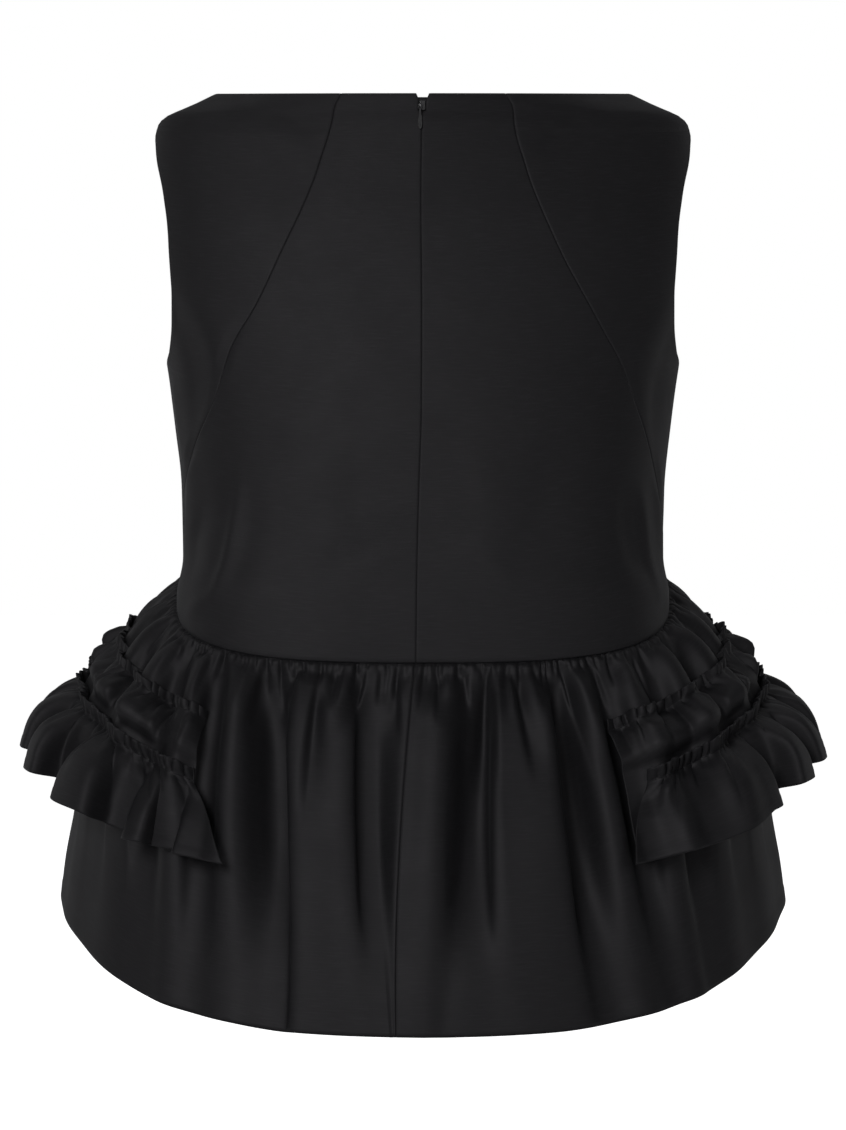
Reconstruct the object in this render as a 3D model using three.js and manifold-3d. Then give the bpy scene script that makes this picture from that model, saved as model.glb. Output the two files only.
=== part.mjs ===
// Sleeveless top with a wide boat neck, a zip down the centre back and a gathered peplum with two ruffles a side.
// Millimetres, +Z up. The back with the zip faces -Y, the front +Y, and the origin lies midway between the
// shoulder seams at the height where they meet the neck edge. Angles go round the body from the centre back,
// 90 at the +X side seam, 180 at the centre front and -90 (or 270) at the -X side seam.
import * as THREE from "three";
import Module from "manifold-3d";

// Cloth and seams
const WALL = 1.5;
const RUFFLE_WALL = 1.4;
const SEAM_GAP = 0.3;
const STITCH_GAP = 0.5;

// Waist seam: low at the back, rising past the sides and nearly level across the front
const WAIST_Z = -363;
const WAIST_SLANT = 0.4;
const WAIST_SLANT_FRONT = 0.1;
const WAIST_BEND_ANGLE = 105;
const WAIST = { half: 177, back: 116, front: 118, square: 3 };

// Neck edge: how far it dips below the shoulder seams at the centre back and centre front
const NECK_DIP_BACK = 8.9;
const NECK_DIP_FRONT = 30;
const NECK_FRONT_POWER = 1.4;

// Peplum
const PEPLUM_LENGTH = 262;
const HEM = { half: 261, back: 190, front: 186, square: 2.05 };
const GATHER_COLUMNS = 4;
const SIDE_ZONE = { from: 0.45, to: 0.95 };

// Zip
const TAPE_HALF = 11;
const TAPE_WALL = 1.1;
const TAPE_TOP = 0.006;
const TAPE_END = 0.975;
const SLIDER = { x: -0.5, z: -18, width: 4, height: 6.8, proud: 0.45, sunk: 1.45 };
const ARCH = { x: -2, inner: 1, outer: 1.9, width: 0.9, lift: 0.85 };
const PULL = { thick: 0.8, length: 18.6, tilt: 1.5 };
// Right half of the pull's outline and of its eye, down from the hinge line
const PULL_OUTLINE = table(["half", "z"], [
  [0.75, 0.68],
  [1.4, 0.1],
  [1.4, -2.15],
  [0.8, -3.25],
  [0.6, -4.35],
  [0.9, -8],
  [1.3, -11],
  [1.45, -13.2],
  [1.35, -15.6],
  [1, -17.4],
  [0.45, -18.35],
]);
const PULL_EYE = table(["half", "z"], [
  [0.85, -0.5],
  [0.85, -2.05],
  [0.45, -2.35],
]);

// Bodice cross-sections by height: half width, depth behind and in front of the side seams, squareness
const SECTIONS = table(["z", "half", "back", "front", "square"], [
  [16, 108, 60, 58, 2],
  [0, 147, 66, 64, 2],
  [-10, 168, 69, 68, 2],
  [-19, 187.8, 71.2, 71, 2.01],
  [-22, 190.5, 72, 72, 2.02],
  [-28, 194, 74, 74, 2.03],
  [-36, 197, 76, 77, 2.05],
  [-60, 200, 82, 86, 2.1],
  [-100, 200, 92, 102, 2.18],
  [-150, 194, 101, 118, 2.26],
  [-197, 185, 107, 129, 2.34],
  [-240, 179, 111, 132, 2.45],
  [-287, 174, 113, 127, 2.6],
  [-335, 173, 114, 120, 2.85],
  [-363, 177, 116, 118, 3],
  [-430, 177.5, 117, 118, 3],
]);

// Seams from the neck edge to the side seams, as the angle at each height
const SEAM_LEFT = table(["z", "angle"], [
  [0, -21.5],
  [-26, -19.2],
  [-59, -21.2],
  [-92, -24.8],
  [-126, -29.9],
  [-160, -36],
  [-190, -43.8],
  [-225, -50],
  [-257, -60],
  [-288, -72],
  [-305, -81],
  [-319.4, -89.6],
]);
const SEAM_RIGHT = table(["z", "angle"], [
  [0, 21.5],
  [-32, 19.2],
  [-63, 21.1],
  [-94, 24.4],
  [-125, 28.8],
  [-152, 34.1],
  [-178, 40],
  [-198, 45.3],
  [-230, 52],
  [-272, 62.5],
  [-306, 72],
  [-325, 81],
  [-337.6, 89.6],
]);

// Armhole edge, as the angle from the centre back (or centre front) at each height
const ARMHOLE = table(["z", "angle"], [
  [-23, 84],
  [-42, 75.3],
  [-78, 66.3],
  [-111, 62.9],
  [-144, 63.7],
  [-168, 66.4],
  [-189, 73.4],
  [-198, 86],
]);

// Centre back line: how far it wanders to the side
const CENTRE_BACK = table(["z", "x"], [
  [0, 0],
  [-14, -0.3],
  [-21, -0.6],
  [-88, -1.4],
  [-160, -0.8],
  [-230, -1],
  [-288, -2.8],
  [-346, -4.2],
  [-420, -5],
]);

// Open slit at the top of the centre back, half its width by row
const SLIT = table(["row", "half"], [
  [0, 4.5],
  [0.0135, 2.5],
  [0.0317, 2.5],
  [0.037, SEAM_GAP / 2],
  [1, SEAM_GAP / 2],
]);

// Rows of the bodice, as shares of the way from the neck edge (0) to the waist seam (1)
const ROWS = [
  0, 0.0135, 0.0317, 0.037, 0.052, 0.0634, 0.074, 0.1, 0.15, 0.2, 0.26, 0.32, 0.38, 0.44, 0.5, 0.53, 0.543, 0.6,
  0.66, 0.72, 0.78, 0.83, 0.88, 0.93, 1,
];
const SHOULDER_ROW = 0.0634;
const UNDERARM_ROW = 0.543;
const LEFT_TIP_ROW = 0.88;
const RIGHT_TIP_ROW = 0.93;

// Peplum profile at the sides and at the back and front: share of the way out to the hem, and drop, along the cloth
const SIDE_PROFILE = table(["along", "share", "drop"], [
  [0, 0, 0],
  [12, 0.12, 5],
  [28, 0.26, 14],
  [44, 0.375, 26],
  [58, 0.46, 37],
  [72, 0.56, 47],
  [87, 0.675, 58],
  [103, 0.765, 72],
  [129, 0.83, 97],
  [181, 0.88, 149],
  [230, 0.96, 188],
  [262, 1, 214],
]);
const FLAT_PROFILE = table(["along", "share", "drop"], [
  [0, 0, 0],
  [10, 0.07, 8],
  [25, 0.17, 20.5],
  [50, 0.3, 43],
  [100, 0.5, 90],
  [150, 0.68, 138],
  [200, 0.84, 187],
  [262, 1, 250],
]);

// Height of the hem below the waist seam, by angle from the centre back
const HEM_DROP = table(["angle", "drop"], [
  [0, 249.5],
  [20, 248],
  [30, 244.8],
  [45, 239.2],
  [60, 229],
  [75, 218],
  [90, 214],
  [120, 222],
  [150, 234],
  [180, 239],
]);

// Peplum rows along the cloth; the first ones carry the fine gathers
const PEPLUM_ROWS = table(["along", "gather", "fold", "fine"], [
  [0, 1.1, 0, 1],
  [9, 2.1, 0.1, 1],
  [22, 1.3, 0.35, 1],
  [45, 0, 0.7, 0],
  [80, 0, 1, 0],
  [120, 0, 1.1, 0],
  [170, 0, 1.05, 0],
  [215, 0, 0.95, 0],
  [262, 0, 0.85, 0],
]);

// Fold lines of the peplum in turn round the body: angle at the seam, half way and at the hem, and how far out
const FOLDS = table(["top", "middle", "low", "out"], [
  [-90, -90, -90, 3],
  [-82, -81.5, -81, -4],
  [-74.5, -74, -73, 5],
  [-67, -66, -65, -4.5],
  [-59.5, -58, -56.5, 5],
  [-52.5, -50.5, -48.5, -5],
  [-47, -44.5, -42, 4.5],
  [-43, -39.3, -36.5, -4.5],
  [-38.5, -33.5, -30.5, 6],
  [-32, -28, -24.5, -8],
  [-26, -22.5, -20, 6],
  [-15.5, -11.5, -8, 4.5],
  [-8.5, -7.4, -6, -3.5],
  [-1.7, -3.9, -4, -1],
  [4, 1, 0, 3.5],
  [10.3, 5.6, 4, -8],
  [14, 11.5, 13.5, 6],
  [23.2, 22.8, 24.6, 6],
  [26.6, 26.4, 28.2, -9],
  [31, 31, 33, 6],
  [37, 36.5, 39.5, -6],
  [42.5, 42.5, 44.5, 5],
  [48, 48, 49, -5],
  [53.5, 53.5, 54.5, 5],
  [61, 61, 62, -5],
  [68.5, 68.5, 69, 5],
  [76, 76, 76.5, -4],
  [83, 83, 83.5, 4],
  [90, 90, 90, -2],
  [97.5, 97, 96.5, 4],
  [105, 104.5, 104, -4.5],
  [112.5, 112, 112.5, 5],
  [120, 120, 120, -5],
  [127.5, 128, 128.5, 5],
  [134.5, 135, 136, -5],
  [141, 141, 142, 5.5],
  [146.5, 147, 148.5, -6.5],
  [152, 153, 154, 6],
  [161, 160, 160.5, 5.5],
  [165, 164.5, 164, -8],
  [170, 169.5, 168.5, 5.5],
  [176, 175, 174.5, -4.5],
  [182, 182.5, 182, 4],
  [188, 188.5, 189.5, -7.5],
  [193, 194.5, 195.5, 6],
  [202, 202, 203.5, 6],
  [206, 207.5, 208.5, -8],
  [211.5, 212, 214, 5.5],
  [218, 218, 219.5, -5.5],
  [225, 225, 226, 5],
  [232, 232, 233, -5],
  [239.5, 239, 240, 5],
  [247, 246.5, 247, -4.5],
  [255, 254.5, 255, 5],
  [262, 262, 262.5, -4],
  [270, 270, 270, 3],
]);
const CENTRE_BACK_FOLD = 13;
const RIGHT_SIDE_FOLD = 28;
const LEFT_SIDE_FOLD = 55;

// Ruffles, from the top of the heading down: place along the peplum and distance out of it, where they hang
// at the back and front and where they stand out at the sides, then the fine frill, the wide folds and how far
// the back end runs ahead, in columns
const RUFFLE_COLUMNS = ["along", "out", "sideAlong", "sideOut", "frill", "fold", "lead"];
const UPPER_RUFFLE = table(RUFFLE_COLUMNS, [
  [52, 4.6, 52, 4.8, 1.5, 0, 0],
  [60, STITCH_GAP, 60, STITCH_GAP, 0, 0, 0],
  [70, 7.5, 69, 6, 0.9, 1.5, 0],
  [83, 10, 81, 9, 0, 3, 0],
  [96, 1.8, 92, 2, 0.4, 0.3, 0],
]);
const LOWER_RUFFLE = table(RUFFLE_COLUMNS, [
  [98, 8.5, 94, 9.5, 1.5, 0, 0],
  [106, STITCH_GAP, 101, STITCH_GAP, 0, 0, 0],
  [117, 9, 107, 13, 1.2, 1.5, 1.2],
  [133, 14.5, 118, 25, 0, 5, 2.2],
  [150, 18, 130, 29.5, 0, 7, 3],
  [167, 21, 143, 31, 0, 8, 3.4],
]);
const RUFFLE_SIDE_ZONE = { from: 0.75, to: 0.97 };

// Wide folds of the ruffles: angle away from the centre back on each side, and crest (1) or hollow (-1)
const RUFFLE_FOLDS = table(["right", "left", "height"], [
  [30, 28, 0.4],
  [47, 44, 1],
  [58.5, 54, -1],
  [64.5, 62, 0.9],
  [70, 71, -0.9],
  [76, 79, 1],
  [82, 86.5, -0.8],
  [89, 94, 0.9],
  [96, 100.5, -1],
  [103, 107, 0.9],
  [110, 113.5, -0.9],
  [117.5, 121, 1],
  [125, 127, -1],
  [132, 134, 0.8],
  [141, 142, -0.6],
  [155, 155, 0.4],
]);
const RUFFLE_ENDS = {
  left_upper: [222, 317.6],
  left_lower: [221, 319],
  right_upper: [35.8, 143],
  right_lower: [40.8, 140],
};
const LEAD_FADE = 7;
const UPPER_SHIFT = 5;

// Helpers for tables and curves
function table(columns, rows) {
  return rows.map((row) => Object.fromEntries(columns.map((name, i) => [name, row[i]])));
}

// Smooth reading of one column of a table at a key, monotone between the rows
function look(rows, key, at, column) {
  const up = rows[0][key] < rows[rows.length - 1][key];
  const list = up ? rows : [...rows].reverse();
  const x = list.map((row) => row[key]);
  const y = list.map((row) => row[column]);
  const last = x.length - 1;
  const v = Math.min(Math.max(at, x[0]), x[last]);
  let i = 0;
  while (i < last - 1 && v > x[i + 1]) i++;
  const slope = (k) => (y[k + 1] - y[k]) / (x[k + 1] - x[k]);
  const tangent = (k) => {
    if (k === 0) return slope(0);
    if (k === last) return slope(last - 1);
    const a = slope(k - 1);
    const b = slope(k);
    return a * b > 0 ? (2 * a * b) / (a + b) : 0;
  };
  const h = x[i + 1] - x[i];
  const t = (v - x[i]) / h;
  const s = 1 - t;
  return (
    y[i] * (1 + 2 * t) * s * s +
    tangent(i) * h * t * s * s +
    y[i + 1] * t * t * (3 - 2 * t) +
    tangent(i + 1) * h * t * t * (t - 1)
  );
}

// Straight reading of one column of a table
function lerpTable(rows, key, at, column) {
  let i = 0;
  while (i < rows.length - 2 && at > rows[i + 1][key]) i++;
  const t = (at - rows[i][key]) / (rows[i + 1][key] - rows[i][key]);
  return mix(rows[i][column], rows[i + 1][column], Math.min(Math.max(t, 0), 1));
}

function mix(a, b, t) {
  return a + (b - a) * t;
}

function smoothstep(x, from, to) {
  const t = Math.min(Math.max((x - from) / (to - from), 0), 1);
  return t * t * (3 - 2 * t);
}

function radians(degrees) {
  return (degrees * Math.PI) / 180;
}

// Point of a rounded rectangle-like ring at an angle
function ring(angle, shape) {
  const s = Math.sin(radians(angle));
  const c = Math.cos(radians(angle));
  const depth = c >= 0 ? shape.back : shape.front;
  const size = (Math.abs(s) ** shape.square + Math.abs(c) ** shape.square) ** (1 / shape.square);
  return { x: (shape.half * s) / size, y: (-depth * c) / size };
}

// Bodice surface at an angle and a height
function bodiceAt(angle, z) {
  const shape = {};
  for (const name of ["half", "back", "front", "square"]) shape[name] = look(SECTIONS, "z", z, name);
  const p = ring(angle, shape);
  return new THREE.Vector3(p.x, p.y, z);
}

// Height of the waist seam where it is y in front of the side seams
function waistAt(y) {
  const bend = ring(WAIST_BEND_ANGLE, WAIST).y;
  return WAIST_Z + WAIST_SLANT * Math.min(y, bend) + WAIST_SLANT_FRONT * Math.max(y - bend, 0);
}

function waistZ(angle) {
  return waistAt(ring(angle, WAIST).y);
}

function neckZ(angle) {
  const c = Math.cos(radians(angle));
  return c >= 0 ? -NECK_DIP_BACK * c : -NECK_DIP_FRONT * (-c) ** NECK_FRONT_POWER;
}

// Bodice point at an angle and a share of the way from the neck edge to the waist seam
function bodice(angle, row) {
  return bodiceAt(angle, mix(neckZ(angle), waistZ(angle), row));
}

// Outward normal of any surface given as a function of two numbers
function normalOf(surface, a, b, stepA, stepB) {
  const alongA = surface(a + stepA, b).sub(surface(a - stepA, b));
  const alongB = surface(a, b + stepB).sub(surface(a, b - stepB));
  return alongB.cross(alongA).normalize();
}

function bodiceNormal(angle, row) {
  return normalOf((a, r) => bodiceAt(a, mix(neckZ(a), waistZ(a), r)), angle, row, 0.2, 0.002);
}

// Degrees round the body that make one millimetre along a surface
function degreesPerMm(surface, angle, b) {
  return 0.2 / surface(angle + 0.1, b).distanceTo(surface(angle - 0.1, b));
}

// Angle of a seam at a row: the seam is given by height, and the height of a row depends on the angle
function seamAngle(seam, row, sign = 1) {
  let angle = sign * look(seam, "z", WAIST_Z * row, "angle");
  for (let k = 0; k < 40; k++) {
    const z = mix(neckZ(angle), waistZ(angle), row);
    angle = mix(angle, sign * look(seam, "z", z, "angle"), 0.7);
  }
  return angle;
}

// Angle of the centre back line at a row
function centreAngle(row) {
  let angle = 0;
  for (let k = 0; k < 10; k++) {
    const p = bodice(angle, row);
    angle += (look(CENTRE_BACK, "z", p.z, "x") - p.x) * degreesPerMm(bodice, angle, row);
  }
  return angle;
}

// Solid wall from an outer and an inner grid of points; a row may have half the columns of the row above it
function wallMesh(name, outer, inner, material) {
  const positions = [];
  const faces = [];
  const store = (grid) => grid.map((row) => row.map((p) => positions.push(p.x, p.y, p.z) / 3 - 1));
  const out = store(outer);
  const into = store(inner);
  const add = (a, b, c, flip) => (flip ? faces.push(a, c, b) : faces.push(a, b, c));
  const strip = (a, b, flip) => {
    if (a.length === b.length) {
      for (let i = 0; i + 1 < a.length; i++) {
        add(a[i], b[i], a[i + 1], flip);
        add(a[i + 1], b[i], b[i + 1], flip);
      }
      return;
    }
    for (let k = 0; k + 1 < b.length; k++) {
      add(a[2 * k], b[k], a[2 * k + 1], flip);
      add(a[2 * k + 1], b[k], b[k + 1], flip);
      add(a[2 * k + 1], b[k + 1], a[2 * k + 2], flip);
    }
  };
  for (let j = 0; j + 1 < out.length; j++) {
    strip(out[j], out[j + 1], false);
    strip(into[j], into[j + 1], true);
  }
  const end = out.length - 1;
  strip(into[0], out[0], false);
  strip(out[end], into[end], false);
  const column = (grid, last) => grid.map((row) => row[last ? row.length - 1 : 0]);
  strip(column(out, false), column(into, false), false);
  strip(column(into, true), column(out, true), false);
  if (signedVolume(positions, faces) < 0) faces.reverse();
  const geometry = new THREE.BufferGeometry();
  geometry.setAttribute("position", new THREE.Float32BufferAttribute(positions, 3));
  geometry.setIndex(faces);
  geometry.computeVertexNormals();
  const mesh = new THREE.Mesh(geometry, material);
  mesh.name = name;
  return mesh;
}

function signedVolume(positions, faces) {
  const at = (i) => new THREE.Vector3().fromArray(positions, 3 * i);
  let sum = 0;
  for (let f = 0; f < faces.length; f += 3) sum += at(faces[f]).dot(at(faces[f + 1]).cross(at(faces[f + 2])));
  return sum;
}

function cloth(color) {
  return new THREE.MeshStandardMaterial({ color, roughness: 0.62, metalness: 0, side: THREE.DoubleSide });
}

// Bodice panel: for each of its rows the angles of its columns
function panel(name, rows, anglesAt, color) {
  const outer = [];
  const inner = [];
  for (const row of rows) {
    const line = anglesAt(row).map((angle) => {
      const point = bodice(angle, row);
      const inside = point.clone().addScaledVector(bodiceNormal(angle, row), -WALL);
      if (row === 1) {
        point.z = waistAt(point.y) + SEAM_GAP / 2;
        inside.z = waistAt(inside.y) + SEAM_GAP / 2;
      }
      return { point, inside };
    });
    outer.push(line.map((p) => p.point));
    inner.push(line.map((p) => p.inside));
  }
  return wallMesh(name, outer, inner, cloth(color));
}

function spread(from, to, count) {
  return Array.from({ length: count + 1 }, (_, i) => mix(from, to, i / count));
}

// Half a seam gap, in degrees, at a place on the bodice
function gapAt(angle, row) {
  return (SEAM_GAP / 2) * degreesPerMm(bodice, angle, row);
}

// Centre back panel of one side: narrow at the neck, the whole back at the waist
function centreBackPanel(name, side, seam, tipRow) {
  const columns = 6;
  return panel(
    name,
    ROWS,
    (row) => {
      const centre = centreAngle(row);
      const perMm = degreesPerMm(bodice, centre, row);
      const slit = lerpTable(SLIT, "row", row, "half");
      const edge = row > tipRow ? side * 90 : seamAngle(seam, row);
      const outerEdge = edge - side * gapAt(edge, row);
      const tapeEdge = centre + side * TAPE_HALF * perMm;
      const angles = [centre + side * slit * perMm, ...spread(tapeEdge, outerEdge, columns)];
      return side > 0 ? angles : angles.reverse();
    },
    0x202123,
  );
}

// Side back panel of one side: neck edge, shoulder seam, armhole, then down the side seam to a point
function sideBackPanel(name, side, seam, tipRow) {
  const columns = 5;
  return panel(
    name,
    ROWS.filter((row) => row <= tipRow),
    (row) => {
      const inArmhole = row > SHOULDER_ROW && row < UNDERARM_ROW;
      const inEdge = seamAngle(seam, row);
      const outEdge = inArmhole ? seamAngle(ARMHOLE, row, side) : side * (90 - gapAt(90, row));
      const angles = spread(inEdge + side * gapAt(inEdge, row), outEdge, columns);
      return side > 0 ? angles : angles.reverse();
    },
    0x1e1f21,
  );
}

// Front panel, in one piece from side seam to side seam with both armholes
function frontPanel(name) {
  const columns = 24;
  return panel(
    name,
    ROWS,
    (row) => {
      const inArmhole = row > SHOULDER_ROW && row < UNDERARM_ROW;
      const edge = inArmhole ? frontArmholeAngle(row) : 90 + gapAt(90, row);
      return spread(-1, 1, columns).map((t) => 180 + 90 * t + Math.sign(t) * (90 - edge) * Math.abs(t) ** 3);
    },
    0x1d1e20,
  );
}

function frontArmholeAngle(row) {
  let angle = 110;
  for (let k = 0; k < 40; k++) {
    const z = mix(neckZ(angle), waistZ(angle), row);
    angle = mix(angle, 180 - look(ARMHOLE, "z", z, "angle"), 0.7);
  }
  return angle;
}

function lastDrop(profile) {
  return profile[profile.length - 1].drop;
}

// Peplum without its folds, at an angle and a length along the cloth
function skirt(angle, along) {
  const side = smoothstep(Math.abs(Math.sin(radians(angle))), SIDE_ZONE.from, SIDE_ZONE.to);
  const top = ring(angle, WAIST);
  const hem = ring(angle, HEM);
  const read = (column) =>
    mix(look(FLAT_PROFILE, "along", along, column), look(SIDE_PROFILE, "along", along, column), side);
  const share = read("share");
  const turned = Math.abs(angle > 180 ? angle - 360 : angle);
  const hemDrop = look(HEM_DROP, "angle", turned, "drop");
  const fullDrop = mix(lastDrop(FLAT_PROFILE), lastDrop(SIDE_PROFILE), side);
  const lengthen = (hemDrop / fullDrop - 1) * (along / PEPLUM_LENGTH) ** 2;
  return new THREE.Vector3(
    mix(top.x, hem.x, share),
    mix(top.y, hem.y, share),
    waistAt(top.y) - read("drop") * (1 + lengthen),
  );
}

function skirtNormal(angle, along) {
  const low = Math.max(along, 0.6);
  const high = Math.min(low, PEPLUM_LENGTH - 0.6);
  return normalOf(skirt, angle, high, 0.3, 0.5);
}

// Fold line number k, counted on past the ends of the table
function foldLine(k) {
  const count = FOLDS.length - 1;
  const turn = Math.floor(k / count);
  const line = FOLDS[k - turn * count];
  return { top: line.top + 360 * turn, middle: line.middle + 360 * turn, low: line.low + 360 * turn, out: line.out };
}

function foldAngle(line, along) {
  const t = along / PEPLUM_LENGTH;
  return line.top * (1 - t) * (1 - 2 * t) + line.middle * 4 * t * (1 - t) + line.low * t * (2 * t - 1);
}

// Angle of a peplum column; columns are counted four to each gap between fold lines
function columnAngle(column, along) {
  const k = Math.floor(column / GATHER_COLUMNS);
  const t = column / GATHER_COLUMNS - k;
  return mix(foldAngle(foldLine(k), along), foldAngle(foldLine(k + 1), along), t);
}

// Peplum surface with its folds and gathers
function peplum(column, along) {
  const k = Math.floor(column / GATHER_COLUMNS);
  const t = column / GATHER_COLUMNS - k;
  const fold = mix(foldLine(k).out, foldLine(k + 1).out, (1 - Math.cos(Math.PI * t)) / 2);
  const gather = Math.sin((column * 2 * Math.PI) / GATHER_COLUMNS);
  const out =
    fold * look(PEPLUM_ROWS, "along", along, "fold") + gather * look(PEPLUM_ROWS, "along", along, "gather");
  const angle = columnAngle(column, along);
  return skirt(angle, along).addScaledVector(skirtNormal(angle, along), out);
}

function peplumNormal(column, along) {
  const inside = Math.min(Math.max(along, 1), PEPLUM_LENGTH - 1);
  return normalOf(peplum, column, inside, 0.25, 0.8);
}

// Peplum piece between two columns, with half a seam gap left at each end
function peplumPiece(name, from, to, color) {
  const outer = [];
  const inner = [];
  for (const row of PEPLUM_ROWS) {
    const step = row.fine ? 1 : 2;
    const line = [];
    for (let column = from; column <= to; column += step) {
      const perColumn = peplum(column + 0.1, row.along).distanceTo(peplum(column - 0.1, row.along)) / 0.2;
      const shift = SEAM_GAP / 2 / perColumn;
      const at = column === from ? column + shift : column === to ? column - shift : column;
      const point = peplum(at, row.along);
      const inside = point.clone().addScaledVector(peplumNormal(column, row.along), -WALL);
      if (row.along === 0) {
        point.z = waistAt(point.y) - SEAM_GAP / 2;
        inside.z = waistAt(inside.y) - SEAM_GAP / 2;
      }
      line.push({ point, inside });
    }
    outer.push(line.map((p) => p.point));
    inner.push(line.map((p) => p.inside));
  }
  return wallMesh(name, outer, inner, cloth(color));
}

// Flat-faced peplum as it is built, for what is sewn on it
function peplumFacet(column, along) {
  let j = 0;
  while (j < PEPLUM_ROWS.length - 2 && along > PEPLUM_ROWS[j + 1].along) j++;
  const above = PEPLUM_ROWS[j];
  const below = PEPLUM_ROWS[j + 1];
  const t = (along - above.along) / (below.along - above.along);
  const onRow = (row) => {
    const step = row.fine ? 1 : 2;
    const k = Math.floor(column / step) * step;
    return peplum(k, row.along).lerp(peplum(k + step, row.along), (column - k) / step);
  };
  return onRow(above).lerp(onRow(below), t);
}

// Column nearest to an angle at a length along the cloth
function columnNear(angle, along) {
  let best = 0;
  const total = (FOLDS.length - 1) * GATHER_COLUMNS;
  for (let column = -total / 2; column <= total + total / 2; column++) {
    if (Math.abs(columnAngle(column, along) - angle) < Math.abs(columnAngle(best, along) - angle)) best = column;
  }
  return best;
}

// Height of the wide folds at an angle, between -1 and 1
function ruffleFold(angle, shift) {
  const turned = angle > 180 ? angle - 360 : angle;
  const side = turned > 0 ? "right" : "left";
  const at = Math.abs(turned) + shift;
  let i = 0;
  while (i < RUFFLE_FOLDS.length - 2 && at > RUFFLE_FOLDS[i + 1][side]) i++;
  const here = RUFFLE_FOLDS[i];
  const next = RUFFLE_FOLDS[i + 1];
  const t = Math.min(Math.max((at - here[side]) / (next[side] - here[side]), 0), 1);
  return mix(here.height, next.height, (1 - Math.cos(Math.PI * t)) / 2);
}

// Ruffle over a side of the peplum: a frilled heading, a stitched row and a flounce below it
function ruffle(name, rows, ends, backEnd, foldShift, color) {
  const zone = [RUFFLE_SIDE_ZONE.from, RUFFLE_SIDE_ZONE.to];
  const from = columnNear(ends[0], rows[1].along);
  const to = columnNear(ends[1], rows[1].along);
  const outer = [];
  const inner = [];
  for (const row of rows) {
    const line = [];
    for (let column = from; column <= to; column++) {
      const fromEnd = backEnd > 0 ? to - column : column - from;
      const at = column + backEnd * row.lead * Math.exp(-fromEnd / LEAD_FADE);
      const side = smoothstep(Math.abs(Math.sin(radians(columnAngle(at, row.along)))), ...zone);
      const along = mix(row.along, row.sideAlong, side);
      const angle = columnAngle(at, along);
      const frill = row.frill * Math.sin((column * 2 * Math.PI) / GATHER_COLUMNS);
      const out = mix(row.out, row.sideOut, side) + frill + row.fold * ruffleFold(angle, foldShift);
      const normal = skirtNormal(angle, along);
      const inside = peplumFacet(at, along).addScaledVector(normal, out);
      line.push({ inside, point: inside.clone().addScaledVector(normal, RUFFLE_WALL) });
    }
    outer.push(line.map((p) => p.point));
    inner.push(line.map((p) => p.inside));
  }
  return wallMesh(name, outer, inner, cloth(color));
}

// Closed zip tape behind the centre back
function zipTape(name) {
  const rows = [TAPE_TOP, ...ROWS.filter((row) => row > TAPE_TOP && row < TAPE_END), TAPE_END];
  const outer = [];
  const inner = [];
  for (const row of rows) {
    const centre = centreAngle(row);
    const half = TAPE_HALF * degreesPerMm(bodice, centre, row);
    const line = [centre - half, centre, centre + half].map((angle) => {
      const normal = bodiceNormal(angle, row);
      const face = bodice(angle, row).addScaledVector(normal, -WALL - SEAM_GAP);
      return { face, back: face.clone().addScaledVector(normal, -TAPE_WALL) };
    });
    outer.push(line.map((p) => p.face));
    inner.push(line.map((p) => p.back));
  }
  return wallMesh(name, outer, inner, cloth(0x161618));
}

// Frame on the cloth at the slider: x across, y into the body, z up along the cloth
function sliderFrame() {
  const origin = bodiceAt(0, SLIDER.z);
  const up = bodiceAt(0, SLIDER.z + 4).sub(bodiceAt(0, SLIDER.z - 4)).normalize();
  const across = new THREE.Vector3(1, 0, 0);
  const into = up.clone().cross(across).normalize();
  return new THREE.Matrix4().makeBasis(across, into, up).setPosition(origin);
}

function extrude(points, holes, depth) {
  const shape = new THREE.Shape(points);
  for (const hole of holes) shape.holes.push(new THREE.Path(hole));
  const geometry = new THREE.ExtrudeGeometry(shape, { depth, bevelEnabled: false, steps: 1 });
  return geometry.translate(0, 0, -depth / 2);
}

function arc(cx, cy, radius, from, to, count) {
  return spread(from, to, count).map(
    (angle) => new THREE.Vector2(cx + radius * Math.cos(radians(angle)), cy + radius * Math.sin(radians(angle))),
  );
}

function metal(color) {
  return new THREE.MeshStandardMaterial({ color, roughness: 0.38, metalness: 0.9 });
}

const wasm = await Module();
wasm.setup();

// Turns a triangle soup into a solid that can be joined
function solid(geometry) {
  const keys = new Map();
  const vertices = [];
  const corners = [];
  const source = geometry.index ? geometry.toNonIndexed() : geometry;
  const position = source.getAttribute("position");
  for (let i = 0; i < position.count; i++) {
    const xyz = [position.getX(i), position.getY(i), position.getZ(i)];
    const key = xyz.map((v) => Math.round(v * 1e4)).join(" ");
    if (!keys.has(key)) keys.set(key, vertices.push(...xyz) / 3 - 1);
    corners.push(keys.get(key));
  }
  const mesh = new wasm.Mesh({
    numProp: 3,
    vertProperties: new Float32Array(vertices),
    triVerts: new Uint32Array(corners),
  });
  return new wasm.Manifold(mesh);
}

function fromSolid(name, made, material) {
  const data = made.getMesh();
  const geometry = new THREE.BufferGeometry();
  geometry.setAttribute("position", new THREE.Float32BufferAttribute(data.vertProperties, 3));
  geometry.setIndex(Array.from(data.triVerts));
  const mesh = new THREE.Mesh(geometry.toNonIndexed(), material);
  mesh.geometry.computeVertexNormals();
  mesh.name = name;
  return mesh;
}

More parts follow.
